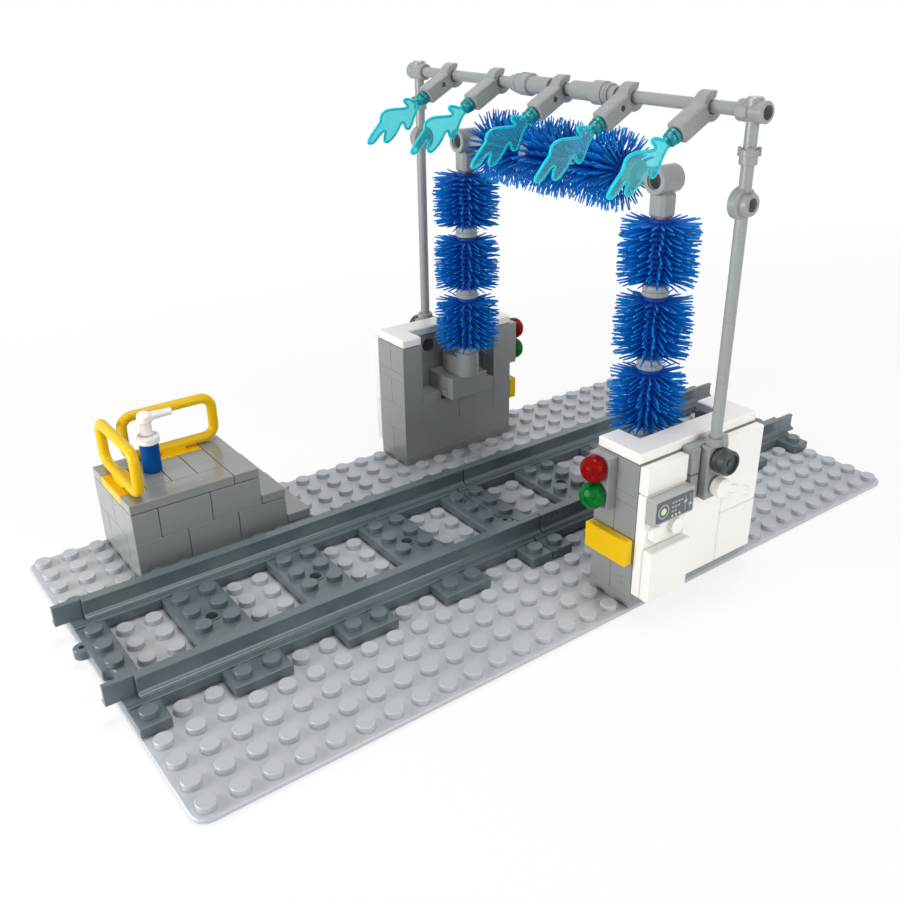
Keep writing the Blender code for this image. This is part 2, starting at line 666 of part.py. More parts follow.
def make_platform():
    """Make the platform, its deck, both handrails and the soap bottle."""
    front, back = [share * STUD_PITCH for share in platform_depth_shares]
    profile = [(x * STUD_PITCH, level(plates)) for x, plates in platform_profile_shares]
    bricks = bmesh.new()
    extruded(bricks, square_inset(profile, HALF_GAP), back - front - CLEARANCE,
             outward((0, back - HALF_GAP, 0)))
    new_object("platform_bricks", bricks, "stone grey")
    low, high = [level(plates) for plates in deck_plate_shares]
    outline = [(x * STUD_PITCH, y * STUD_PITCH) for x, y in deck_outline_shares]
    deck = bmesh.new()
    slab(deck, square_inset(outline, HALF_GAP), low + HALF_GAP, high - HALF_GAP)
    new_object("platform_deck", deck, "stone grey")
    end = make_handrail("handrail_end", end_foot_shares, deck_plate_shares, math.pi / 2)
    rear = make_handrail("handrail_back", back_foot_shares, deck_plate_shares, 0)
    bottle_x = end[0] + BAR_RADIUS + PUMP_SIDE_GAP + PUMP_REACH
    bottle_y = rear[1] - BAR_RADIUS - PUMP_RAIL_GAP - PUMP_REACH
    make_bottle((bottle_x, bottle_y), high + HALF_GAP)


def make_bottle(centre, low):
    """Make the soap bottle with its collar, and the pump that swivels on top."""
    radius = BOTTLE_DIAMETER / 2
    collar_radius = COLLAR_DIAMETER / 2
    top = BOTTLE_HEIGHT + COLLAR_HEIGHT
    body = bmesh.new()
    turned(body, [(0, 0), (radius, 0), (radius, BOTTLE_HEIGHT), (collar_radius, BOTTLE_HEIGHT),
                  (collar_radius, top), (0, top)])
    new_object("bottle_body", body, "bottle blue", place=Matrix.Translation((*centre, low)))
    pump_z = low + top + CLEARANCE
    neck_radius = PUMP_NECK_DIAMETER / 2
    head_top = PUMP_NECK_HEIGHT + PUMP_HEAD_HEIGHT
    head_radius = PUMP_HEAD_DIAMETER / 2
    pump = bmesh.new()
    turned(pump, [(0, 0), (neck_radius, 0), (neck_radius, PUMP_NECK_HEIGHT),
                  (head_radius, PUMP_NECK_HEIGHT), (head_radius, head_top),
                  (neck_radius, head_top + PUMP_CAP_HEIGHT), (0, head_top + PUMP_CAP_HEIGHT)])
    arm = bmesh.new()
    cylinder(arm, PUMP_ARM_DIAMETER / 2, PUMP_REACH - CLEARANCE,
             along_x((0, 0, PUMP_NECK_HEIGHT + PUMP_HEAD_HEIGHT / 2)), BAR_SIDES)
    new_object("bottle_pump", combined(pump, [arm]), "white",
               place=Matrix.Translation((*centre, pump_z)))


def make_tower_walls(side, tower):
    """Make a tower's stack of grey bricks, with its niche, pin hole and lamp plate."""
    walls = bmesh.new()
    corner = TOWER_HALF - HALF_GAP
    box(walls, (-corner, -TOWER_OUTER + HALF_GAP, level(0) + HALF_GAP),
        (corner, -TOWER_INNER - HALF_GAP, TOWER_TOP - HALF_GAP))
    lamp_plate = bmesh.new()
    box(lamp_plate, (-TOWER_HALF - PLATE_HEIGHT + HALF_GAP, -NICHE_BACK + HALF_GAP,
                     tower_drop(LAMP_PLATE_STUDS)),
        (-TOWER_HALF + PLATE_HEIGHT, -TOWER_INNER - CLEARANCE, TOWER_TOP - CLEARANCE))
    outline = [(tower_x(x), level(plates)) for x, plates in niche_outline_shares]
    niche = bmesh.new()
    extruded(niche, square_inset(outline, -HALF_GAP), NICHE_CUTTER_DEPTH,
             outward((0, NICHE_CUTTER_DEPTH - NICHE_BACK - HALF_GAP, 0)))
    pin_x, pin_level = pin_hole_share
    pin = bmesh.new()
    pin_start = (tower_x(pin_x), -TOWER_OUTER - STUD_PITCH, level(pin_level) + PIN_HOLE_RISE)
    pin_length = TOWER_OUTER - NICHE_BACK + NICHE_CUTTER_DEPTH
    cylinder(pin, PIN_HOLE_DIAMETER / 2, pin_length, along_y(pin_start))
    new_object(f"{side}_tower_bricks", combined(walls, [lamp_plate], [niche, pin]),
               "stone grey", tower)


def make_tower_skin(side, tower):
    """Make a tower's top tiles, its wall panels, control panel, rod bracket and end tile."""
    top = level(TOWER_TOP_LEVEL)
    outline = [(tower_x(x), tower_y(y)) for x, y in tower_top_outline_shares]
    tiles = bmesh.new()
    slab(tiles, square_inset(outline, HALF_GAP), top + HALF_GAP, top + PLATE_HEIGHT - HALF_GAP)
    new_object(f"{side}_top_tiles", tiles, "white", tower)
    outline = [(tower_x(x), tower_drop(z)) for x, z in wall_panel_outline_shares]
    studs = [(tower_x(x), tower_drop(z)) for x, z in panel_stud_shares]
    panels = bmesh.new()
    studded_slab(panels, square_inset(outline, HALF_GAP), [], studs,
                 PANEL_LAYERS[0] + HALF_GAP, PANEL_LAYERS[1] - HALF_GAP, outward())
    x0, x1, upper, lower = wall_tile_shares
    tile = bmesh.new()
    box(tile, (tower_x(x0) + CLEARANCE, HALF_GAP - PANEL_LAYERS[2], tower_drop(lower) + CLEARANCE),
        (tower_x(x1) - HALF_GAP, HALF_GAP - PANEL_LAYERS[1] + HALF_GAP, tower_drop(upper)))
    new_object(f"{side}_wall_panels", combined(panels, [tile]), "white", tower)
    control = bmesh.new()
    panel_box(control, control_panel_shares, 1)
    new_object(f"{side}_control_panel", control, "panel slate", tower)
    bracket = bmesh.new()
    plan = [(tower_x(x), -PANEL_LAYERS[layer]) for x, layer in rod_bracket_outline_shares]
    plan = square_inset(plan[::-1], HALF_GAP)
    upper, lower = rod_bracket_drop_shares
    slab(bracket, plan, tower_drop(lower) + HALF_GAP, tower_drop(upper) - HALF_GAP)
    new_object(f"{side}_rod_bracket", bracket, "stone grey", tower)
    tile_top = level(NICHE_FLOOR_LEVEL)
    end_tile = bmesh.new()
    box(end_tile, (-TOWER_HALF - PLATE_HEIGHT + HALF_GAP, -TOWER_OUTER + HALF_GAP,
                   tile_top - STUD_PITCH + HALF_GAP),
        (-TOWER_HALF - HALF_GAP, -TOWER_INNER - HALF_GAP, tile_top - HALF_GAP))
    new_object(f"{side}_yellow_tile", end_tile, "yellow", tower)


def make_tap(side, tower):
    """Make the tap on the outer face: a knob and a lever that turn about the knob's axis."""
    knob_start = PANEL_LAYERS[2] + HALF_GAP
    knob = bmesh.new()
    cylinder(knob, TAP_KNOB_DIAMETER / 2, TAP_KNOB_LENGTH, outward((0, -knob_start, 0)))
    lever = bmesh.new()
    down = Matrix.Rotation(math.radians(TAP_LEVER_DROP_DEG), 4, "Y")
    lever_y = -knob_start - TAP_KNOB_LENGTH / 2
    cylinder(lever, TAP_LEVER_DIAMETER / 2, TAP_LEVER_REACH,
             Matrix.Translation((0, lever_y, 0)) @ down @ along_x(), BAR_SIDES)
    place = Matrix.Translation((0, 0, tower_drop(tap_drop_share)))
    new_object(f"{side}_tap", combined(knob, [lever]), "white", tower, place)


def make_roller_socket(side, tower):
    """Make the bracket that reaches out of the niche, with the roller's socket on top of it."""
    half = STUD_PITCH - HALF_GAP
    bracket = bmesh.new()
    box(bracket, (-half, -NICHE_BACK + HALF_GAP, BRACKET_TOP - STUD_PITCH),
        (half, -TOWER_INNER + BRACKET_PLATES * PLATE_HEIGHT, BRACKET_TOP))
    socket = bmesh.new()
    wide = SOCKET_WIDTH / 2
    foot = BRACKET_TOP - PLATE_HEIGHT
    box(socket, (-wide, -ROLLER_Y - wide, foot), (wide, -ROLLER_Y + wide, SOCKET_TOP))
    upper = [edge for edge in socket.edges if min(vert.co.z for vert in edge.verts) > foot]
    bmesh.ops.bevel(socket, geom=upper, offset=SOCKET_TOP_RADIUS, segments=2, affect="EDGES",
                    profile=0.5, material=-1)
    bore = bmesh.new()
    cylinder(bore, grow(AXLE_DIAMETER), 2 * SOCKET_BORE_DEPTH,
             Matrix.Translation((0, -ROLLER_Y, SOCKET_TOP - SOCKET_BORE_DEPTH)), BORE_SIDES)
    new_object(f"{side}_roller_socket", combined(bracket, [socket], [bore]), "bar grey", tower)


def make_roller_head(side, tower):
    """Make the tee that joins the upright roller to the one across: a post and a pin tube."""
    tube = bmesh.new()
    cylinder(tube, HEAD_TUBE_DIAMETER / 2, HEAD_TUBE_LENGTH, along_x((-HEAD_TUBE_LENGTH / 2, 0, 0)))
    post = bmesh.new()
    corner_radius = HEAD_POST_WIDTH / 2 / math.cos(math.pi / BAR_SIDES)
    turn = Matrix.Rotation(math.pi / BAR_SIDES, 4, "Z")
    cylinder(post, corner_radius, HEAD_POST_LENGTH,
             Matrix.Translation((0, 0, -HEAD_POST_LENGTH)) @ turn, BAR_SIDES)
    pin = bmesh.new()
    cylinder(pin, PIN_HOLE_DIAMETER / 2, 2 * HEAD_TUBE_LENGTH, along_x((-HEAD_TUBE_LENGTH, 0, 0)))
    bores = bmesh.new()
    radius = grow(AXLE_DIAMETER)
    cylinder(bores, radius, HEAD_BORE_DEPTH,
             Matrix.Translation((0, 0, -HEAD_POST_LENGTH - CLEARANCE)), BORE_SIDES)
    side_start = HEAD_TUBE_DIAMETER / 2 - HEAD_SIDE_DEPTH
    cylinder(bores, radius, 2 * HEAD_SIDE_DEPTH, along_y((0, side_start, 0)), BORE_SIDES)
    place = Matrix.Translation((0, -ROLLER_Y, HEAD_Z))
    new_object(f"{side}_roller_head", combined(tube, [post], [pin, bores]), "bar grey", tower, place)


def brush_mesh():
    """Make a brush: a sleeve on the axle whose every facet is drawn out to one bristle."""
    bm = bmesh.new()
    core = BRUSH_CORE_DIAMETER / 2
    bore = grow(AXLE_DIAMETER)
    half = BRUSH_LENGTH / 2
    heights = [BRUSH_LENGTH * row / BRISTLE_ROWS - half for row in range(BRISTLE_ROWS + 1)]
    turned(bm, [(bore, -half), *[(core, height) for height in heights], (bore, half)],
           sides=BRISTLE_COLUMNS)
    facets = [face for face in bm.faces if is_outer_facet(face, (core + bore) / 2)]
    facets.sort(key=lambda face: (round(face.calc_center_median().z / MERGE_DISTANCE),
                                  facet_angle(face)))
    for index, facet in enumerate(facets):
        centre = facet.calc_center_median()
        tip_radius = BRUSH_RADIUS * bristle_trim_shares[index % len(bristle_trim_shares)]
        angle = facet_angle(facet)
        tip = Vector((tip_radius * math.cos(angle), tip_radius * math.sin(angle),
                      centre.z * BRISTLE_FAN_SHARE))
        poked = bmesh.ops.poke(bm, faces=[facet])
        poked["verts"][0].co = tip
    return bm


def is_outer_facet(face, least_radius):
    """Tell whether a face lies on the outside of a sleeve about Z."""
    centre = face.calc_center_median()
    sideways = math.hypot(face.normal.x, face.normal.y) > abs(face.normal.z)
    return sideways and math.hypot(centre.x, centre.y) > least_radius


def facet_angle(face):
    """Angle of a face's middle about Z."""
    centre = face.calc_center_median()
    return math.atan2(centre.y, centre.x)


def make_roller(name, parent, place, ends):
    """Make a roller: an axle with spacers and ends, and the brushes between them."""
    axle_radius = AXLE_DIAMETER / 2
    spacer_radius = SPACER_DIAMETER / 2
    profile = [(0, -ends[0]), (axle_radius, -ends[0])]
    profile += bush_profile(ends[2], -STACK_LENGTH / 2 - CLEARANCE, -1)
    for gap in range(1, BRUSHES):
        start = gap * BRUSH_STEP - SPACER_LENGTH - STACK_LENGTH / 2
        lower = start + CLEARANCE
        upper = start + SPACER_LENGTH - CLEARANCE
        profile += [(axle_radius, lower), (spacer_radius, lower)]
        profile += [(spacer_radius, upper), (axle_radius, upper)]
    profile += bush_profile(ends[2], STACK_LENGTH / 2 + CLEARANCE, 1)
    profile += [(axle_radius, ends[1]), (0, ends[1])]
    axle = bmesh.new()
    turned(axle, profile, sides=BAR_SIDES)
    new_object(f"{name}_axle", axle, "bar grey", parent, place)
    for index in range(BRUSHES):
        middle = (index - (BRUSHES - 1) / 2) * BRUSH_STEP
        new_object(f"{name}_brush_{index + 1}", brush_mesh(), "bristle blue", parent,
                   place @ Matrix.Translation((0, 0, middle)))


def bush_profile(length, start, sign):
    """Profile of the bush at one end of a roller, or nothing where it has none."""
    if not length:
        return []
    axle_radius = AXLE_DIAMETER / 2
    radius = SPACER_DIAMETER / 2
    points = [(axle_radius, start), (radius, start), (radius, start + sign * length),
              (axle_radius, start + sign * length)]
    return points[::sign]


def make_rollers(towers):
    """Make the two upright rollers and the one across between their heads."""
    down = STACK_MIDDLE - SOCKET_TOP + SOCKET_BORE_DEPTH - CLEARANCE
    up = HEAD_BASE + HEAD_BORE_DEPTH - 2 * CLEARANCE - STACK_MIDDLE
    for side, tower in towers.items():
        make_roller(side, tower, Matrix.Translation((0, -ROLLER_Y, STACK_MIDDLE)), (down, up, 0))
    reach = ROLLER_Y - HEAD_TUBE_DIAMETER / 2 + HEAD_SIDE_DEPTH - CLEARANCE
    make_roller("top", None, along_y((TOWER_X, 0, HEAD_Z)), (reach, reach, BUSH_LENGTH))


def make_riser(side, tower):
    """Make a riser: a rod with its ring and collar, and the tee on top of it."""
    ring_z = BAR_Z - RING_DROP
    low = tower_drop(rod_bracket_drop_shares[0]) + HALF_GAP
    top = BAR_Z - TEE_POST_LENGTH + TEE_BORE_DEPTH - CLEARANCE
    rod = bmesh.new()
    cylinder(rod, BAR_RADIUS, top - low, Matrix.Translation((0, -RISER_Y, low)), BAR_SIDES)
    ring = bmesh.new()
    floor = RING_LENGTH + RING_BOSS_LENGTH - RING_HOLE_DEPTH
    boss_top = RING_LENGTH + RING_BOSS_LENGTH
    boss_radius = RING_BOSS_DIAMETER / 2
    turned(ring, [(0, 0), (RING_DIAMETER / 2, 0), (RING_DIAMETER / 2, RING_LENGTH),
                  (boss_radius, RING_LENGTH), (boss_radius, boss_top), (BAR_RADIUS, boss_top),
                  (BAR_RADIUS, floor), (0, floor)],
           outward((0, -RISER_Y + RING_LENGTH / 2, ring_z)))
    collar_radius = RISER_COLLAR_DIAMETER / 2
    neck_radius = RISER_COLLAR_NECK_DIAMETER / 2
    half = RISER_COLLAR_HEIGHT / 2
    collar = bmesh.new()
    turned(collar, [(0, -half), (neck_radius, -half), (neck_radius, 0), (collar_radius, 0),
                    (collar_radius, half), (0, half)],
           Matrix.Translation((0, -RISER_Y, BAR_Z - COLLAR_DROP)), BORE_SIDES)
    new_object(f"{side}_riser_rod", combined(rod, [ring, collar]), "bar grey", tower)
    new_object(f"{side}_riser_tee", tee_mesh(), "bar grey", tower,
               Matrix.Translation((0, -RISER_Y, BAR_Z)))


def tee_mesh():
    """Make the tee at the top of a riser, hollow at both ends of its tube and at its foot."""
    half = TEE_LENGTH / 2
    post_radius = TEE_POST_DIAMETER / 2
    knob_radius = TEE_KNOB_DIAMETER / 2
    tube = bmesh.new()
    cylinder(tube, TEE_DIAMETER / 2, TEE_LENGTH, along_y((0, -half, 0)))
    upright = bmesh.new()
    turned(upright, [(0, -TEE_POST_LENGTH), (post_radius, -TEE_POST_LENGTH), (post_radius, 0),
                     (knob_radius, 0), (knob_radius, TEE_KNOB_HEIGHT), (0, TEE_KNOB_HEIGHT)])
    bores = bmesh.new()
    cutter_length = 2 * TEE_BORE_DEPTH
    for end in (-half, half):
        cylinder(bores, BAR_BORE, cutter_length, along_y((0, end - TEE_BORE_DEPTH, 0)), BORE_SIDES)
    cylinder(bores, BAR_BORE, cutter_length,
             Matrix.Translation((0, 0, -TEE_POST_LENGTH - TEE_BORE_DEPTH)), BORE_SIDES)
    return combined(tube, [upright], [bores])


def make_spray_bar():
    """Make the bar between the two tees, with the sleeves that join its lengths."""
    reach = RISER_Y - TEE_LENGTH / 2 + TEE_BORE_DEPTH - CLEARANCE
    pieces = [(SLEEVE_TUBE_DIAMETER, SLEEVE_TUBE_LENGTH),
              (SLEEVE_BARREL_DIAMETER, SLEEVE_BARREL_LENGTH),
              (SLEEVE_RING_DIAMETER, SLEEVE_RING_LENGTH), (SLEEVE_TIP_DIAMETER, SLEEVE_TIP_LENGTH)]
    start = SLEEVE_START
    sleeves = [(BAR_RADIUS, start)]
    for diameter, length in pieces:
        sleeves += [(diameter / 2, start), (diameter / 2, start + length)]
        start += length
    sleeves.append((BAR_RADIUS, start))
    both = [(radius, -along) for radius, along in reversed(sleeves)] + sleeves
    middle = nozzle_place_shares[len(nozzle_place_shares) // 2] * RISER_Y
    profile = [(0, -reach), (BAR_RADIUS, -reach)]
    profile += [(radius, along + middle) for radius, along in both]
    profile += [(BAR_RADIUS, reach), (0, reach)]
    bar = bmesh.new()
    turned(bar, profile, along_y((TOWER_X, 0, BAR_Z)), BORE_SIDES)
    new_object("spray_bar", bar, "bar grey")


def clip_outline():
    """Outline of a nozzle's clip round the bar, with its mouth away from the nozzle at -X."""
    mouth = math.radians(CLIP_MOUTH_DEG) / 2
    neck = math.asin(NOZZLE_SIZE / CLIP_DIAMETER)
    radius = CLIP_DIAMETER / 2
    neck_x = -radius - CLEARANCE
    upper = arc((0, 0), radius, mouth, math.pi - neck, CORNER_STEPS)
    lower = arc((0, 0), radius, math.pi + neck, math.tau - mouth, CORNER_STEPS)
    inner = arc((0, 0), BAR_BORE, math.tau - mouth, mouth, BORE_SIDES)
    return upper + [(neck_x, NOZZLE_SIZE / 2), (neck_x, -NOZZLE_SIZE / 2)] + lower + inner


def nozzle_mesh():
    """Make a nozzle: a clip for the bar that widens to a square block."""
    bm = bmesh.new()
    extruded(bm, clip_outline(), CLIP_WIDTH, outward((0, CLIP_WIDTH / 2, 0)))
    bm.normal_update()
    start = min(bm.faces, key=lambda face: face.calc_center_median().x)
    block = bmesh.ops.extrude_discrete_faces(bm, faces=[start])["faces"][0]
    for vert in block.verts:
        vert.co.y *= NOZZLE_SIZE / CLIP_WIDTH
    tip = bmesh.ops.extrude_discrete_faces(bm, faces=[block])["faces"][0]
    for vert in tip.verts:
        vert.co.x = -NOZZLE_REACH
    return bm


def splash_mesh():
    """Make a splash of water: a round stub and a flat blade with its three tongues."""
    root = NOZZLE_REACH + CLEARANCE
    outline = [(-root - along * SPLASH_LENGTH, across * SPLASH_SPAN)
               for along, across in splash_outline_shares]
    blade = bmesh.new()
    extruded(blade, outline, SPLASH_THICKNESS, outward((0, SPLASH_THICKNESS / 2, 0)))
    stub = bmesh.new()
    cylinder(stub, SPLASH_STUB_DIAMETER / 2, SPLASH_STUB_LENGTH,
             along_x((-root - SPLASH_STUB_LENGTH - HALF_GAP, 0, 0)), BAR_SIDES)
    return combined(blade, [stub])


def make_nozzles():
    """Make the five nozzles on the bar, counted from the far end, each with its splash."""
    dip = Matrix.Rotation(-math.radians(NOZZLE_DROP_DEG), 4, "Y")
    for index, share in enumerate(nozzle_place_shares):
        across = share * RISER_Y
        place = Matrix.Translation((TOWER_X, across, BAR_Z)) @ dip
        new_object(f"nozzle_{index + 1}", nozzle_mesh(), "bar grey", place=place)
        new_object(f"splash_{index + 1}", splash_mesh(), "clear turquoise", place=place)


def lamp_mesh():
    """Make a lamp: a short rim and a dome, along +Z."""
    bm = bmesh.new()
    radius = LAMP_DIAMETER / 2
    dome_height = LAMP_LENGTH - LAMP_RIM
    quarter = math.pi / 2
    dome = [(radius * math.cos(quarter * step / CORNER_STEPS),
             LAMP_RIM + dome_height * math.sin(quarter * step / CORNER_STEPS))
            for step in range(CORNER_STEPS)]
    turned(bm, [(0, 0), (radius, 0), *dome, (0, LAMP_LENGTH)])
    return bm


def gauge_mesh():
    """Make a gauge: a round case whose face lies below its rim, along +Z."""
    bm = bmesh.new()
    radius = GAUGE_DIAMETER / 2
    face_radius = radius - GAUGE_RIM
    face = GAUGE_LENGTH - GAUGE_RECESS
    turned(bm, [(0, 0), (radius, 0), (radius, GAUGE_LENGTH), (face_radius, GAUGE_LENGTH),
                (face_radius, face), (0, face)])
    return bm


def make_tower_trim(side, tower):
    """Make a tower's two lamps and its gauge."""
    lamp_x = -TOWER_HALF - PLATE_HEIGHT - HALF_GAP
    lamp_y = -(TOWER_INNER + NICHE_BACK) / 2
    away = Matrix.Rotation(math.pi, 4, "Z") @ along_x()
    for colour, drop in lamp_drop_shares.items():
        place = Matrix.Translation((lamp_x, lamp_y, tower_drop(drop))) @ away
        new_object(f"{side}_{colour}_lamp", lamp_mesh(), f"clear {colour}", tower, place)
    gauge_place = outward((0, -PANEL_LAYERS[2] - HALF_GAP, tower_drop(gauge_drop_share)))
    new_object(f"{side}_gauge", gauge_mesh(), "gauge black", tower, gauge_place)


def make_towers():
    """Make both towers: the far one is the near one turned half a turn about the arch."""
    towers = {}
    for side, turn in (("near", 0), ("far", math.pi)):
        tower = bpy.data.objects.new(f"{side}_tower", None)
        bpy.context.collection.objects.link(tower)
        tower.matrix_local = Matrix.Translation((TOWER_X, 0, 0)) @ Matrix.Rotation(turn, 4, "Z")
        towers[side] = tower
        make_tower_walls(side, tower)
        make_tower_skin(side, tower)
        make_tower_trim(side, tower)
        make_roller_socket(side, tower)
        make_roller_head(side, tower)
        make_tap(side, tower)
        make_riser(side, tower)
    return towers


def main():
    """Clear the scene and build the whole station."""
    for item in list(bpy.data.objects):
        bpy.data.objects.remove(item)
    make_baseplate()
    track_half = TRACK_STUDS * STUD_PITCH / 2
    make_track("track_left", -track_half)
    make_track("track_right", track_half)
    make_platform()
    towers = make_towers()
    make_rollers(towers)
    make_spray_bar()
    make_nozzles()


main()
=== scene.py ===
"""Toy train wash station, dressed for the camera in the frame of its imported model.

Each class holds the sizes of one sub-assembly in millimetres, and builds and dresses its
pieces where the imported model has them. The track runs along X, and Z is up. A profile is a
run of (radius, height) points that is turned about its own axis. Shares count studs along X
and Y and plates in height, or are shares of a named size. Sizes that belong together stand
in one tuple, and get their names where it is unpacked.
"""

import logging
import math
import random
from dataclasses import dataclass
from enum import Enum
from typing import Iterable, Optional, Sequence, Union

import bmesh
import bpy
from mathutils import Matrix, Vector


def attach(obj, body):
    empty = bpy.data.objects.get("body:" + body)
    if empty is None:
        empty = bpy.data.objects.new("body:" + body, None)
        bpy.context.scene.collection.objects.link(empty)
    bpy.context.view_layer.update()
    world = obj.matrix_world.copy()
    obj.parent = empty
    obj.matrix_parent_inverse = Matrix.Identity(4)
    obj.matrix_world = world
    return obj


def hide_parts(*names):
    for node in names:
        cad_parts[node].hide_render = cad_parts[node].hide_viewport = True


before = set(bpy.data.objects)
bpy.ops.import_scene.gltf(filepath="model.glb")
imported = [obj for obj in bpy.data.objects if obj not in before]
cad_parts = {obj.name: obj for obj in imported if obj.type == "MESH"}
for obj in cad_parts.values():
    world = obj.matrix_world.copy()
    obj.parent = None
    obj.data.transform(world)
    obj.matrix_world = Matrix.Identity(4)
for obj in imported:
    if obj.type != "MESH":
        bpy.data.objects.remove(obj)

log = logging.getLogger("wash_station")

MM = 0.001
SMOOTH_LIMIT_DEG = 28.0
WELD = 0.0005
TUBE_RESOLUTION = 5
STUD_SIDES = 20
FLAT = Matrix()
Colour = tuple[float, float, float]
Point = tuple[float, float]
Place = tuple[float, float, float]
Number = Union[float, "Shade"]


class Facing(Enum):
    """Which way a form's own upward axis points once it is placed."""

    UP = (0.0, "X")
    EAST = (math.pi / 2, "Y")
    WEST = (-math.pi / 2, "Y")
    NORTH = (-math.pi / 2, "X")
    SOUTH = (math.pi / 2, "X")

    def at(self, x: float = 0.0, y: float = 0.0, z: float = 0.0) -> Matrix:
        """Matrix that turns a form this way and moves it to a place."""
        angle, axis = self.value
        return Matrix.Translation((x, y, z)) @ Matrix.Rotation(angle, 4, axis)


@dataclass(frozen=True)
class Grid:
    """Sizes that all the bricks share."""

    pitch: float = 8.0
    plate: float = 3.2
    stud: float = 4.8
    stud_rise: float = 1.7
    stud_edge: float = 0.16
    bar: float = 3.2
    base: float = 1.5
    gap: float = 0.3
    seam: float = 0.08
    edge: float = 0.22

    def level(self, plates: float) -> float:
        """Height of the joint above a stack of plates."""
        return self.base + self.gap / 2 + plates * self.plate


GRID = Grid()


# Outlines


def arc(centre: Point, radius: float, start: float, end: float, steps: int) -> list[Point]:
    """Points along an arc between two angles in degrees, both ends included."""
    angles = [math.radians(start + (end - start) * step / steps) for step in range(steps + 1)]
    return [(centre[0] + radius * math.cos(a), centre[1] + radius * math.sin(a)) for a in angles]


def rounded(half_x: float, half_y: float, radius: float, steps: int = 6) -> list[Point]:
    """Points of a rectangle with round corners, anticlockwise.

    Args:
        half_x: Half its size along X.
        half_y: Half its size along Y.
        radius: Radius of its corners.
        steps: How many flats stand for a corner.

    Returns:
        The points.
    """
    points: list[Point] = []
    for index, (x, y) in enumerate(((1, 1), (-1, 1), (-1, -1), (1, -1))):
        centre = (x * (half_x - radius), y * (half_y - radius))
        points += arc(centre, radius, 90 * index, 90 * index + 90, steps)
    return points


def inset(points: Sequence[Point], gap: float) -> list[Point]:
    """Draw a square-cornered anticlockwise outline inward.

    Args:
        points: The outline's corners.
        gap: How far each side moves.

    Returns:
        The smaller outline.
    """
    moved: list[Point] = []
    for index, point in enumerate(points):
        here = Vector(point)
        incoming = (here - Vector(points[index - 1])).normalized()
        outgoing = (Vector(points[(index + 1) % len(points)]) - here).normalized()
        shift = Vector((-incoming.y - outgoing.y, incoming.x + outgoing.x)) * gap
        moved.append(tuple(here + shift))
    return moved


def softened(points: Sequence[Point], rounds: int) -> list[Point]:
    """Cut the corners of a closed outline again and again until it is round.

    Args:
        points: The outline's corners.
        rounds: How often they are cut.

    Returns:
        The outline, with twice the points for each round.
    """
    current = [Vector(point) for point in points]
    for _ in range(rounds):
        cut: list[Vector] = []
        for here, after in zip(current, current[1:] + current[:1]):
            cut += [here.lerp(after, 0.25), here.lerp(after, 0.75)]
        current = cut
    return [tuple(point) for point in current]


# Meshes


def link(name: str, data: bpy.types.ID) -> bpy.types.Object:
    """Put an object of some data in the scene.

    Args:
        name: Name of the object.
        data: Its mesh, curve, lamp or camera.

    Returns:
        The object, untransformed.
    """
    item = bpy.data.objects.new(name, data)
    bpy.context.scene.collection.objects.link(item)
    return item


def vertices(geometry: Iterable) -> list[bmesh.types.BMVert]:
    """Pick the vertices out of an operator's result."""
    return [item for item in geometry if isinstance(item, bmesh.types.BMVert)]


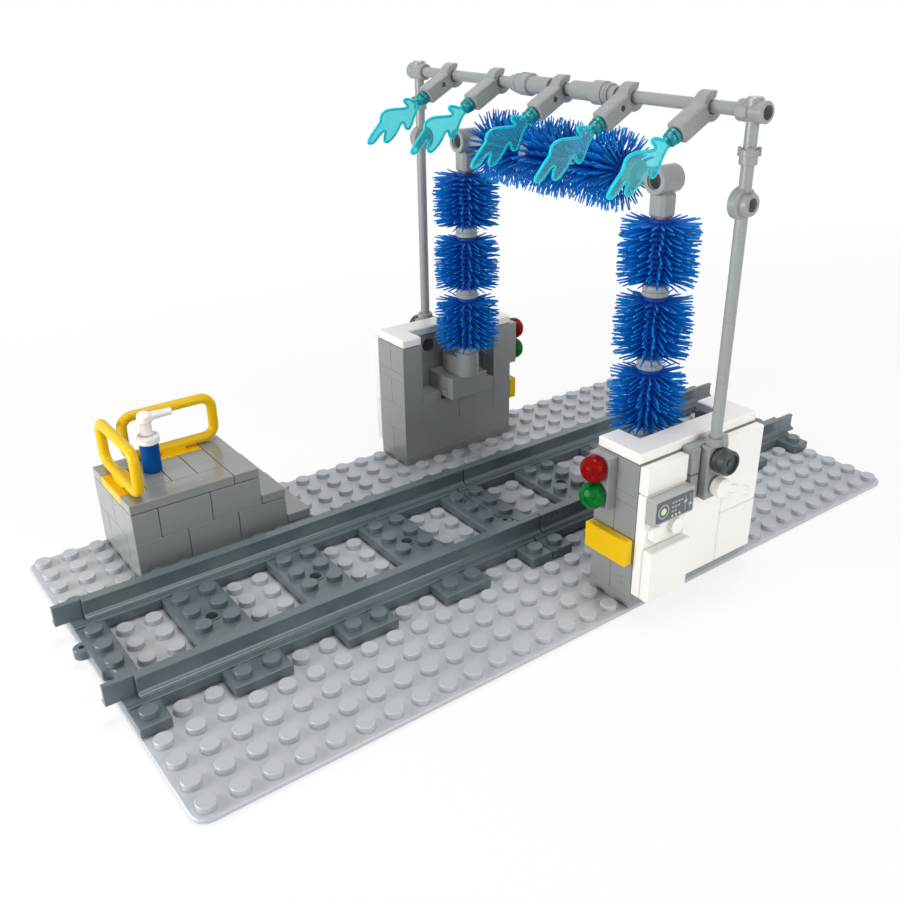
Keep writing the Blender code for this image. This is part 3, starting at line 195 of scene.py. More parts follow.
class Form:
    """A mesh under construction, in millimetres."""

    def __init__(self) -> None:
        """Start with an empty mesh."""
        self.bm = bmesh.new()

    def mesh(self, name: str) -> bpy.types.Mesh:
        """Copy the form to a new mesh.

        Args:
            name: Name of the mesh.

        Returns:
            The mesh, still in millimetres.
        """
        mesh = bpy.data.meshes.new(name)
        self.bm.to_mesh(mesh)
        return mesh

    def take(self, other: "Form", place: Matrix = FLAT) -> "Form":
        """Add a copy of another form at a place.

        Args:
            other: The form to copy.
            place: Where the copy goes.

        Returns:
            This form.
        """
        loan = other.mesh("loan")
        loan.transform(place)
        self.bm.from_mesh(loan)
        bpy.data.meshes.remove(loan)
        return self

    def soften(self, edges: Iterable[bmesh.types.BMEdge], width: float) -> None:
        """Break edges with one flat bevel."""
        bmesh.ops.bevel(self.bm, geom=list(edges), offset=width, offset_type="OFFSET",
                        segments=1, profile=0.5, affect="EDGES", material=-1)

    def block(self, low: Place, high: Place, edge: float = GRID.edge,
              place: Matrix = FLAT) -> "Form":
        """Add a box with broken edges.

        Args:
            low: The corner with the lowest coordinates.
            high: The corner opposite it.
            edge: Width of the broken edges.
            place: Where the box goes.

        Returns:
            This form.
        """
        start, end = Vector(low), Vector(high)
        size = Matrix.Diagonal((*(end - start), 1))
        made = bmesh.ops.create_cube(
            self.bm, size=1, matrix=place @ Matrix.Translation((start + end) / 2) @ size)
        self.soften({item for vert in made["verts"] for item in vert.link_edges}, edge)
        return self

    def lathe(self, profile: Sequence[Point], place: Matrix = FLAT, sides: int = 40) -> "Form":
        """Add a body turned about its own Z from its (radius, height) profile.

        Args:
            profile: Corner points. One that starts and ends on the axis makes a solid,
                and any other makes a ring.
            place: Where the body goes.
            sides: How many flats stand for the round.

        Returns:
            This form.
        """
        turned = Form()
        bm = turned.bm
        verts = [bm.verts.new((radius, 0, height)) for radius, height in profile]
        edges = [bm.edges.new(pair) for pair in zip(verts, verts[1:])]
        if profile[0][0] > 0:
            edges.append(bm.edges.new((verts[-1], verts[0])))
        bmesh.ops.spin(bm, geom=verts + edges, cent=(0, 0, 0), axis=(0, 0, 1),
                       angle=math.tau, steps=sides, use_merge=True)
        bmesh.ops.remove_doubles(bm, verts=bm.verts, dist=WELD)
        bmesh.ops.recalc_face_normals(bm, faces=bm.faces)
        return self.take(turned, place)

    def rod(self, radius: float, length: float, place: Matrix = FLAT, edge: float = 0.15,
            sides: int = 32) -> "Form":
        """Add a round rod with broken edges, standing on the placed origin."""
        profile = [(0, 0), (radius - edge, 0), (radius, edge), (radius, length - edge),
                   (radius - edge, length), (0, length)]
        return self.lathe(profile, place, sides)

    def prism(self, outline: Sequence[Point], length: float, place: Matrix = FLAT,
              edge: float = GRID.edge) -> "Form":
        """Add a straight extrusion of an outline along its own Z.

        Args:
            outline: Corner points, in order.
            length: How far it reaches.
            place: Where it goes.
            edge: Width of its broken edges, or 0 to leave them sharp.

        Returns:
            This form.
        """
        solid = Form()
        bm = solid.bm
        start = bm.faces.new([bm.verts.new((x, y, 0)) for x, y in outline])
        grown = bmesh.ops.extrude_face_region(bm, geom=[start])["geom"]
        bmesh.ops.translate(bm, verts=vertices(grown), vec=(0, 0, length))
        bmesh.ops.recalc_face_normals(bm, faces=bm.faces)
        if edge:
            limit = math.radians(SMOOTH_LIMIT_DEG)
            solid.soften([item for item in bm.edges if item.calc_face_angle(0.0) > limit], edge)
        return self.take(solid, place)

    def tube(self, points: Iterable[Place], radius: float, place: Matrix = FLAT,
             closed: bool = False) -> "Form":
        """Add a round tube along a run of points, capped unless it is closed.

        Args:
            points: The run's middle line.
            radius: Radius of the tube.
            place: Where it goes.
            closed: Whether the run ends where it starts.

        Returns:
            This form.
        """
        curve = bpy.data.curves.new("run", "CURVE")
        curve.dimensions = "3D"
        curve.bevel_depth = radius
        curve.bevel_resolution = TUBE_RESOLUTION
        curve.use_fill_caps = not closed
        run = list(points)
        spline = curve.splines.new("POLY")
        spline.points.add(len(run) - 1)
        for target, point in zip(spline.points, run):
            target.co = (*point, 1)
        spline.use_cyclic_u = closed
        holder = link("run", curve)
        drawn = Form()
        drawn.bm.from_mesh(holder.to_mesh())
        bpy.data.objects.remove(holder)
        bpy.data.curves.remove(curve)
        bmesh.ops.recalc_face_normals(drawn.bm, faces=drawn.bm.faces)
        return self.take(drawn, place)

    def stud(self, x: float, y: float, base: float, place: Matrix = FLAT) -> "Form":
        """Add one stud: an open barrel and the broken edge round its flat top.

        Args:
            x: Its middle along X.
            y: Its middle along Y.
            base: Height that it stands on.
            place: Where the whole goes.

        Returns:
            This form.
        """
        edge = GRID.stud_edge
        radius = GRID.stud / 2
        barrel = GRID.stud_rise - edge
        for low, depth, top in ((0.0, barrel, radius), (barrel, edge, radius - edge)):
            centre = Matrix.Translation((x, y, base + low + depth / 2))
            bmesh.ops.create_cone(self.bm, cap_ends=low > 0, segments=STUD_SIDES, radius1=radius,
                                  radius2=top, depth=depth, matrix=place @ centre)
        return self

    def carve(self, *tools: "Form") -> "Form":
        """Cut other forms out of this one.

        Args:
            tools: The forms to cut away.

        Returns:
            This form.
        """
        body = link("loose", self.mesh("loose"))
        others = [link("loose", tool.mesh("loose")) for tool in tools]
        for other in others:
            cut = body.modifiers.new("cut", "BOOLEAN")
            cut.operation = "DIFFERENCE"
            cut.solver = "EXACT"
            cut.object = other
        graph = bpy.context.evaluated_depsgraph_get()
        graph.update()
        self.bm = bmesh.new()
        self.bm.from_object(body, graph)
        for item in [body, *others]:
            bpy.data.objects.remove(item)
        return self


# Finishes


class Shade:
    """A shader value. Python's operators on it add the Math nodes."""

    def __init__(self, graph: "Graph", socket: bpy.types.NodeSocket) -> None:
        """Wrap a socket of a graph."""
        self.graph = graph
        self.socket = socket

    def math(self, operation: str, first: Number, second: Number = 0.0) -> "Shade":
        """Add one Math node."""
        node = self.graph.node("Math", {"operation": operation}, {0: first, 1: second})
        return Shade(self.graph, node.outputs[0])

    def __add__(self, other: Number) -> "Shade":
        """Add a value."""
        return self.math("ADD", self, other)

    def __sub__(self, other: Number) -> "Shade":
        """Take a value away."""
        return self.math("SUBTRACT", self, other)

    def __rsub__(self, other: Number) -> "Shade":
        """Take this from a value."""
        return self.math("SUBTRACT", other, self)

    def __mul__(self, other: Number) -> "Shade":
        """Multiply by a value."""
        return self.math("MULTIPLY", self, other)

    __radd__ = __add__
    __rmul__ = __mul__

    def band(self, low: float, high: float) -> "Shade":
        """Stretch the part between two values to 0 to 1, and hold it there."""
        node = self.graph.node("MapRange", {"clamp": True},
                               {"Value": self, "From Min": low, "From Max": high})
        return Shade(self.graph, node.outputs["Result"])


class Graph:
    """The nodes of a material or of the world, with its first shader."""

    def __init__(self, owner: Union[bpy.types.Material, bpy.types.World], shader: str) -> None:
        """Take over the nodes of a new material or world.

        Args:
            owner: The material or the world.
            shader: Name of the shader that it starts with.
        """
        owner.use_nodes = True
        self.owner = owner
        self.tree = owner.node_tree
        self.shader = self.tree.nodes[shader]
        self.place = self.node("TexCoord", {}, {}).outputs["Object"]

    @classmethod
    def of(cls, name: str) -> "Graph":
        """Make a material that has only its Principled shader and its output."""
        return cls(bpy.data.materials.new(name), "Principled BSDF")

    def node(self, kind: str, settings: dict, inputs: dict) -> bpy.types.Node:
        """Add a node.

        Args:
            kind: Its type without the ShaderNode prefix.
            settings: Its own properties, set first.
            inputs: Values or links of its sockets, by name or number.

        Returns:
            The node.
        """
        node = self.tree.nodes.new("ShaderNode" + kind)
        for key, value in settings.items():
            setattr(node, key, value)
        self.feed(node, inputs)
        return node

    def feed(self, node: bpy.types.Node, inputs: dict) -> "Graph":
        """Link sockets and shades to a node's inputs, or set plain values on them.

        Args:
            node: The node.
            inputs: What each input gets, by its name or number.

        Returns:
            This graph.
        """
        for key, value in inputs.items():
            source = value.socket if isinstance(value, Shade) else value
            if isinstance(source, bpy.types.NodeSocket):
                self.tree.links.new(source, node.inputs[key])
            else:
                node.inputs[key].default_value = source
        return self

    def length(self, start: Place, keep: Place) -> Shade:
        """Measure how far the surface is from a place.

        Args:
            start: The place, in millimetres.
            keep: How much each axis counts.

        Returns:
            The distance in metres.
        """
        offset = self.node("VectorMath", {"operation": "SUBTRACT"},
                           {0: self.place, 1: [value * MM for value in start]})
        spread = self.node("VectorMath", {"operation": "MULTIPLY"},
                           {0: offset.outputs["Vector"], 1: keep})
        span = self.node("VectorMath", {"operation": "LENGTH"}, {0: spread.outputs["Vector"]})
        return Shade(self, span.outputs["Value"])

    def seen_white(self, share: Number, kind: str, output: str) -> None:
        """Mix white light into the shader where the camera, glass or gloss sees it.

        Args:
            share: How much of what is seen there turns white, of 1.
            kind: Type of the white light's node.
            output: Name of the output node.
        """
        path = self.node("LightPath", {}, {})
        camera, gloss, glass = (Shade(self, path.outputs[f"Is {ray} Ray"])
                                for ray in ("Camera", "Glossy", "Transmission"))
        seen = camera.math("MAXIMUM", camera, camera.math("MAXIMUM", gloss, glass))
        white = self.node(kind, {}, {"Color": (1, 1, 1, 1), "Strength": 1.0})
        mix = self.node("MixShader", {}, {0: seen * share, 1: self.shader.outputs[0],
                                          2: white.outputs[0]})
        self.feed(self.tree.nodes[output], {0: mix.outputs[0]})

    def noise(self, size: float, detail: float = 2.0, stretch: Place = (1, 1, 1)) -> Shade:
        """Add soft noise.

        Args:
            size: How many millimetres its blotches are across, about.
            detail: How many finer layers it has.
            stretch: Scale along each axis.

        Returns:
            The noise, from 0 to 1.
        """
        space = self.node("Mapping", {}, {"Vector": self.place, "Scale": stretch})
        node = self.node("TexNoise", {}, {"Vector": space.outputs[0], "Detail": detail,
                                          "Scale": 1 / (size * MM), "Roughness": 0.55})
        return Shade(self, node.outputs["Fac"])

    def blend(self, factor: Number, first: object, second: object) -> bpy.types.NodeSocket:
        """Mix two colours by a factor."""
        node = self.node("Mix", {"data_type": "RGBA"}, {0: factor, 6: first, 7: second})
        return node.outputs[2]

    def bump(self, height: Shade, depth: float) -> bpy.types.NodeSocket:
        """Turn a height of 0 to 1 into a normal, with the depth in millimetres."""
        node = self.node("Bump", {}, {"Height": height, "Distance": depth * MM, "Strength": 1.0})
        return node.outputs["Normal"]


def shaded(colour: Colour, by: float) -> tuple[float, float, float, float]:
    """A colour made lighter or darker by a share, as a shader takes it."""
    return (*[min(1.0, channel * (1 + by)) for channel in colour], 1.0)


@dataclass(frozen=True)
class Moulded:
    """Injection-moulded plastic: faint flow marks, a fine skin and handling scuffs."""

    title: str
    slot: str
    colour: Colour
    roughness: float = 0.30
    # Random tone from flow marks on opaque plastic; on clear plastic, the strength of the painted
    # light and shade on its relief.
    mottle_and_relief_shade: float = 0.04
    scuffs: float = 0.14
    skin: float = 0.010
    coat: float = 0.12
    specular: float = 0.45
    coat_roughness: float = 0.14
    ior: float = 1.5
    flow: Point = (26.0, 3.0)
    haze: Point = (7.0, 4.0)
    scratch: tuple = (0.9, 2.0, (0.25, 1.0, 1.0))
    scratch_band: Point = (0.66, 0.74)
    scratch_roughness: float = 0.1
    wear: float = 0.35
    wear_lift: float = 0.18
    coarse: Point = (1.6, 1.0)
    fine: Point = (0.35, 2.0)
    fine_share: float = 0.3

    def material(self) -> bpy.types.Material:
        """Find this finish's material, or make it."""
        return bpy.data.materials.get(self.title) or self.make().owner

    def make(self) -> Graph:
        """Build the nodes of the opaque plastic.

        Returns:
            The new material's graph.
        """
        graph = Graph.of(self.title)
        scratch = graph.noise(*self.scratch).band(*self.scratch_band)
        haze = graph.noise(*self.haze)
        base = graph.blend(graph.noise(*self.flow), shaded(self.colour, -self.mottle_and_relief_shade),
                           shaded(self.colour, self.mottle_and_relief_shade))
        worn = graph.blend(scratch * haze * self.wear, base, shaded(self.colour, self.wear_lift))
        rough = haze * self.scuffs + (self.roughness - self.scuffs / 2)
        grain = (graph.noise(*self.coarse) * (1 - self.fine_share)
                 + graph.noise(*self.fine) * self.fine_share)
        return graph.feed(graph.shader, {
            "Base Color": worn, "Roughness": rough + scratch * self.scratch_roughness,
            "Normal": graph.bump(grain, self.skin), "IOR": self.ior,
            "Specular IOR Level": self.specular, "Coat Weight": self.coat,
            "Coat Roughness": self.coat_roughness})


@dataclass(frozen=True)
class Clear(Moulded):
    """Tinted see-through plastic with a lightly rippled or a faceted skin, and painted light and
    shade that follow the skin's relief.
    """

    ior: float = 1.46
    facet: float = 0.0
    facet_blur: float = 0.15
    ripple: Point = (4.0, 2.0)
    # Painted light and shade: the relief heights over which the colour goes from lighter to
    # darker.
    relief_shade_band: Point = (0.1, 0.8)
    smear: Point = (3.0, 3.0)
    smear_roughness: float = 0.04
    clarity: float = 0.8

    def make(self) -> Graph:
        """Build the nodes of the clear plastic.

        Returns:
            The new material's graph.
        """
        graph = Graph.of(self.title)
        if self.facet:
            cells = graph.node("TexVoronoi", {"feature": "SMOOTH_F1"}, {
                "Vector": graph.place, "Scale": 1 / (self.facet * MM),
                "Smoothness": self.facet_blur})
            height = Shade(graph, cells.outputs["Distance"])
        else:
            height = graph.noise(*self.ripple)
        # Painted light and shade: lighter where the skin dips and darker where it rises, on
        # facets and ripples alike.
        relief_shaded_tint = graph.blend(height.band(*self.relief_shade_band), shaded(self.colour, self.mottle_and_relief_shade),
                           shaded(self.colour, -self.mottle_and_relief_shade))
        rough = graph.noise(*self.smear) * self.smear_roughness + self.roughness
        return graph.feed(graph.shader, {
            "Base Color": relief_shaded_tint, "Roughness": rough, "Normal": graph.bump(height, self.skin),
            "IOR": self.ior, "Specular IOR Level": self.specular,
            "Transmission Weight": self.clarity, "Coat Weight": self.coat})


@dataclass(frozen=True)
class Bristly(Moulded):
    """Soft bristle plastic with painted shade: dark near a roller's axle and paler out to the
    tips.
    """

    axle: Place = (0.0, 0.0, 0.0)
    across: Place = (1.0, 1.0, 0.0)
    # Where the painted shade starts and ends, in millimetres from the axle.
    root: float = 3.0
    reach: float = 11.5
    # Painted shade: the colour near the axle, where the bristles shade one another.
    deep: Colour = (0.0, 0.05, 0.36)
    tuft: Point = (1.4, 2.0)
    tuft_share: float = 0.5
    grain: Point = (0.5, 1.0)

    def make(self) -> Graph:
        """Build the nodes, with painted shade that follows the distance from the axle.

        Returns:
            The new material's graph.
        """
        graph = Graph.of(self.title)
        # Painted shade: dark near the axle, fading out towards the tips, broken by random tufts.
        outward = graph.length(self.axle, self.across).band(self.root * MM, self.reach * MM)
        tuft = graph.noise(*self.tuft)
        pale = (outward + (tuft - 0.5) * self.tuft_share).band(0.0, 1.0)
        return graph.feed(graph.shader, {
            "Base Color": graph.blend(pale, shaded(self.deep, 0), shaded(self.colour, 0)),
            "Roughness": tuft * self.scuffs + self.roughness,
            "Normal": graph.bump(graph.noise(*self.grain), self.skin),
            "Specular IOR Level": self.specular})


BASE_GREY = Moulded("base plate grey", "base_grey", (0.465, 0.485, 0.505), mottle_and_relief_shade=0.03)
TRACK_GREY = Moulded("track grey", "track_grey", (0.104, 0.131, 0.144), roughness=0.30,
                     coat=0.3, specular=0.45)
STONE_GREY = Moulded("brick grey", "stone_grey", (0.25, 0.266, 0.262), coat=0.25)
TILE_GREY = Moulded("deck tile grey", "stone_grey", (0.25, 0.262, 0.252), roughness=0.24,
                    coat=0.5)
BAR_GREY = Moulded("bar grey", "bar_grey", (0.285, 0.30, 0.296), roughness=0.28)
PANEL_GREY = Moulded("panel frame grey", "bar_grey", (0.40, 0.41, 0.40))
WHITE = Moulded("tile white", "white", (0.88, 0.86, 0.82), mottle_and_relief_shade=0.015)
YELLOW = Moulded("handrail yellow", "yellow", (0.78, 0.48, 0.0), coat=0.05, specular=0.2)
BOTTLE_BLUE = Moulded("bottle blue", "bottle_blue", (0.0, 0.058, 0.24), coat=0.0, specular=0.1)
SLATE = Moulded("panel slate", "panel_slate", (0.085, 0.105, 0.125), roughness=0.36, skin=0.005)
PRINT_PALE = Moulded("panel print pale", "panel_slate", (0.42, 0.45, 0.45), roughness=0.4)
PRINT_YELLOW = Moulded("panel print yellow", "panel_slate", (0.78, 0.74, 0.34), roughness=0.4)
GAUGE_BLACK = Moulded("gauge black", "gauge_black", (0.030, 0.042, 0.040), roughness=0.4)
TURQUOISE = Clear("splash turquoise", "clear_turquoise", (0.16, 0.78, 0.84), roughness=0.01,
                  skin=0.003, coat=0.0, specular=0.05, clarity=0.82)
# Painted glow: the blade's turquoise plastic, made brighter, deeper and less clear along the
# splash's edge.
SPLASH_EDGE_GLOW = Clear("splash edge", "clear_turquoise", (0.0, 0.86, 0.96), roughness=0.1,
                    skin=0.006, coat=0.0, specular=0.1, clarity=0.4)
SPLASH_STUB = Clear("splash stub", "clear_turquoise", (0.0, 0.34, 0.37), roughness=0.1,
                    skin=0.015, coat=0.0, specular=0.2, clarity=0.4)
# The lamps' facets carry strong painted light and shade: lighter middles, darker borders.
CLEAR_RED = Clear("lamp red", "clear_red", (0.25, 0.0, 0.002), roughness=0.12, mottle_and_relief_shade=0.3,
                  skin=0.2, coat=0.0, specular=0.06, facet=1.6, clarity=0.1)
CLEAR_GREEN = Clear("lamp green", "clear_green", (0.0, 0.16, 0.022), roughness=0.12, mottle_and_relief_shade=0.3,
                    skin=0.2, coat=0.0, specular=0.06, facet=1.6, clarity=0.1)


def publish(form: Form, name: str, finish: Moulded, body: str, nodes: Sequence[str] = (),
            place: Matrix = FLAT) -> bpy.types.Object:
    """Turn a finished form into a dressed piece of the model.

    Args:
        form: The shape in millimetres. It is used up.
        name: Name of the piece.
        finish: What it is made of.
        body: Name of the body that it moves with.
        nodes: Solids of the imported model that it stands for.
        place: Where it goes, in millimetres.

    Returns:
        The scene object, untransformed.
    """
    mesh = form.mesh(name)
    form.bm.free()
    mesh.transform(Matrix.Scale(MM, 4) @ place)
    mesh.shade_smooth()
    mesh.set_sharp_from_angle(angle=math.radians(SMOOTH_LIMIT_DEG))
    mesh.materials.append(finish.material())
    piece = link(name, mesh)
    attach(piece, body)
    if nodes:
        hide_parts(*nodes)
    log.info("%s: %d faces, rides on %s", name, len(mesh.polygons), body)
    return piece


# Base plate and track


@dataclass
class BasePlate:
    """The studded plate under everything."""

    studs: tuple[int, int] = (32, 16)
    corner: float = 4.0
    rim: float = 0.35
    covered_shares: tuple = (
        (-13, -6, 4, 8), (0, 6, -8, -6), (0, 6, 6, 8), (-16, 16, -3, -2), (-16, 16, 2, 3))
    sleeper_shares: tuple = ((0, 1), (3, 5), (7, 9), (11, 13), (15, 16))

    def is_bare(self, x: float, y: float) -> bool:
        """Tell whether nothing stands on a place.

        Args:
            x: The place along X, in studs from the middle.
            y: The place along Y, in studs from the middle.

        Returns:
            Whether a stud shows there.
        """
        covers = list(self.covered_shares)
        for first in (-self.studs[0] // 2, 0):
            covers += [(first + a, first + b, -4, 4) for a, b in self.sleeper_shares]
        return not any(x0 < x < x1 and y0 < y < y1 for x0, x1, y0, y1 in covers)

    def build(self) -> None:
        """Build the plate with a stud wherever it is bare."""
        half_x, half_y = (count * GRID.pitch / 2 for count in self.studs)
        form = Form().prism(rounded(half_x, half_y, self.corner), GRID.base, edge=self.rim)
        for column in range(self.studs[0]):
            for row in range(self.studs[1]):
                x = column + 0.5 - self.studs[0] / 2
                y = row + 0.5 - self.studs[1] / 2
                if self.is_bare(x, y):
                    form.stud(x * GRID.pitch, y * GRID.pitch, GRID.base)
        publish(form, "baseplate_studded", BASE_GREY, "station", ["baseplate"])


@dataclass
class Track:
    """One length of track: sleepers with studs and two rails."""

    side: str
    centre: float
    studs: int = 16
    half_width: float = 32.0
    rail_y: float = 20.0
    rail_back: float = 0.2
    rail_edge: float = 0.12
    flange: Point = (8.0, 3.0)
    bead: tuple = (0.9, 0.1, 0.25)
    step: Point = (5.6, 0.7)
    head_width: float = 2.6
    head_lip: tuple = (0.22, 0.6, 0.9)
    fillet: float = 1.2
    fillet_step_deg: int = 15
    lift: float = 0.4
    tongue: float = 7.6
    lug: Point = (0.6, 2.57)
    lug_pin: float = 0.8
    hole: float = 1.8
    hole_rim: Point = (0.5, 0.25)
    sleeper_shares: tuple = ((3, 5), (7, 9), (11, 13))
    row_shares: tuple = (-3.5, -1.5, -0.5, 0.5, 1.5, 3.5)

    @property
    def low(self) -> float:
        """Height of the sleepers' undersides."""
        return GRID.level(0) + GRID.gap / 2

    @property
    def high(self) -> float:
        """Height of the sleepers' tops."""
        return GRID.level(1) - GRID.gap / 2

    @property
    def half(self) -> float:
        """Half the length."""
        return self.studs * GRID.pitch / 2

    def end_outline(self) -> list[Point]:
        """Draw the left half sleeper, with its lug and the notch for the next one's.

        Returns:
            The outline's points.
        """
        end = -self.half
        face = end + GRID.gap / 2
        shift, notch = self.lug
        lug = notch - GRID.gap
        points = [(end + GRID.pitch, -self.half_width), (end + GRID.pitch, self.half_width),
                  (face, self.half_width), (face, GRID.pitch + lug)]
        points += arc((end - shift, GRID.pitch), lug, 90, 270, 12)
        points += [(face, GRID.pitch - lug), (face, notch - GRID.pitch)]
        points += arc((end + shift, -GRID.pitch), notch, 90, -90, 12)
        return points + [(face, -GRID.pitch - notch), (face, -self.half_width)]

    def sleepers(self) -> Form:
        """Build the sleepers, their studs and the holes in them.

        Returns:
            The form of all of them.
        """
        form = Form()
        height = self.high - self.low
        width, rise = self.hole_rim
        rim = [(self.hole, -width), (self.hole + width, -width), (self.hole + width, rise),
               (self.hole, rise)]
        for first, last in self.sleeper_shares:
            middle = (first + last) / 2 * GRID.pitch - self.half
            wide = (last - first) * GRID.pitch / 2
            plank = Form().block((middle - wide, -self.half_width, self.low),
                                 (middle + wide, self.half_width, self.high))
            bore = Form().rod(self.hole, 2 * height, Facing.UP.at(middle, 0, self.low - 1))
            form.take(plank.carve(bore))
            form.lathe(rim, Facing.UP.at(middle, 0, self.high), 28)
            for x in (middle - GRID.pitch / 2, middle + GRID.pitch / 2):
                for row in self.row_shares:
                    form.stud(x, row * GRID.pitch, self.high)
        for turn in (0, math.pi):
            about = Matrix.Rotation(turn, 4, "Z")
            end = Form().prism(self.end_outline(), height, Facing.UP.at(0, 0, self.low))
            pin = Form().rod(self.lug_pin, 3 * height,
                             Facing.UP.at(-self.half - self.lug[0], GRID.pitch, 0))
            form.take(end.carve(pin), about)
            for row in self.row_shares:
                form.stud(GRID.pitch / 2 - self.half, row * GRID.pitch, self.high, about)
        return form

    def rail_outline(self, sign: int) -> list[Point]:
        """Draw a rail's section above its flange.

        Args:
            sign: 0 for the whole section, or the side of the half that is wanted.

        Returns:
            The outline's points.
        """
        top = GRID.level(3) - GRID.level(0) - GRID.gap - self.lift
        ledge = self.flange[1]
        wide = self.step[0] / 2
        head = self.head_width / 2
        lip, lip_drop, neck_drop = self.head_lip
        flank = [(wide, ledge)]
        for turn in range(0, 91, self.fillet_step_deg):
            angle = math.radians(turn)
            flank.append((wide - (wide - head) * math.sin(angle),
                          ledge + self.step[1] + self.fillet * (1 - math.cos(angle))))
        flank += [(head, top - neck_drop), (head + lip, top - lip_drop), (head + lip, top)]
        mirrored = [(-x, z) for x, z in reversed(flank)]
        if sign > 0:
            return [(0, ledge), *flank, (0, top)]
        if sign < 0:
            return [(0, ledge), (0, top), *mirrored]
        return flank + mirrored

    def rails(self) -> Form:
        """Build both rails with the half tongues that reach into the next length.

        Returns:
            The form of both.
        """
        form = Form()
        base = self.low + self.lift
        end = self.half - self.rail_back
        wide, high = self.flange[0] / 2, base + self.flange[1]
        narrow = self.bead[0]
        web = self.half - GRID.pitch / 2
        sideways = Matrix.Rotation(math.pi / 2, 4, "Z") @ Matrix.Rotation(math.pi / 2, 4, "X")
        for y in (-self.rail_y, self.rail_y):
            form.block((-end, y - wide, base), (end, y + wide, high))
            form.block((-end, y - wide + narrow, high - self.bead[1]),
                       (end, y + wide - narrow, high + self.bead[2]), self.bead[1])
            spans = ((0, -web, web), (1, -web - self.tongue, -web), (-1, web, web + self.tongue))
            for sign, start, stop in spans:
                form.prism(self.rail_outline(sign), stop - start,
                           Matrix.Translation((start, y, base)) @ sideways, self.rail_edge)
        return form

    def build(self) -> None:
        """Build the whole length."""
        form = self.sleepers().take(self.rails())
        publish(form, f"track_{self.side}_length", TRACK_GREY, "station",
                [f"track_{self.side}"], Matrix.Translation((self.centre, 0, 0)))


# Platform


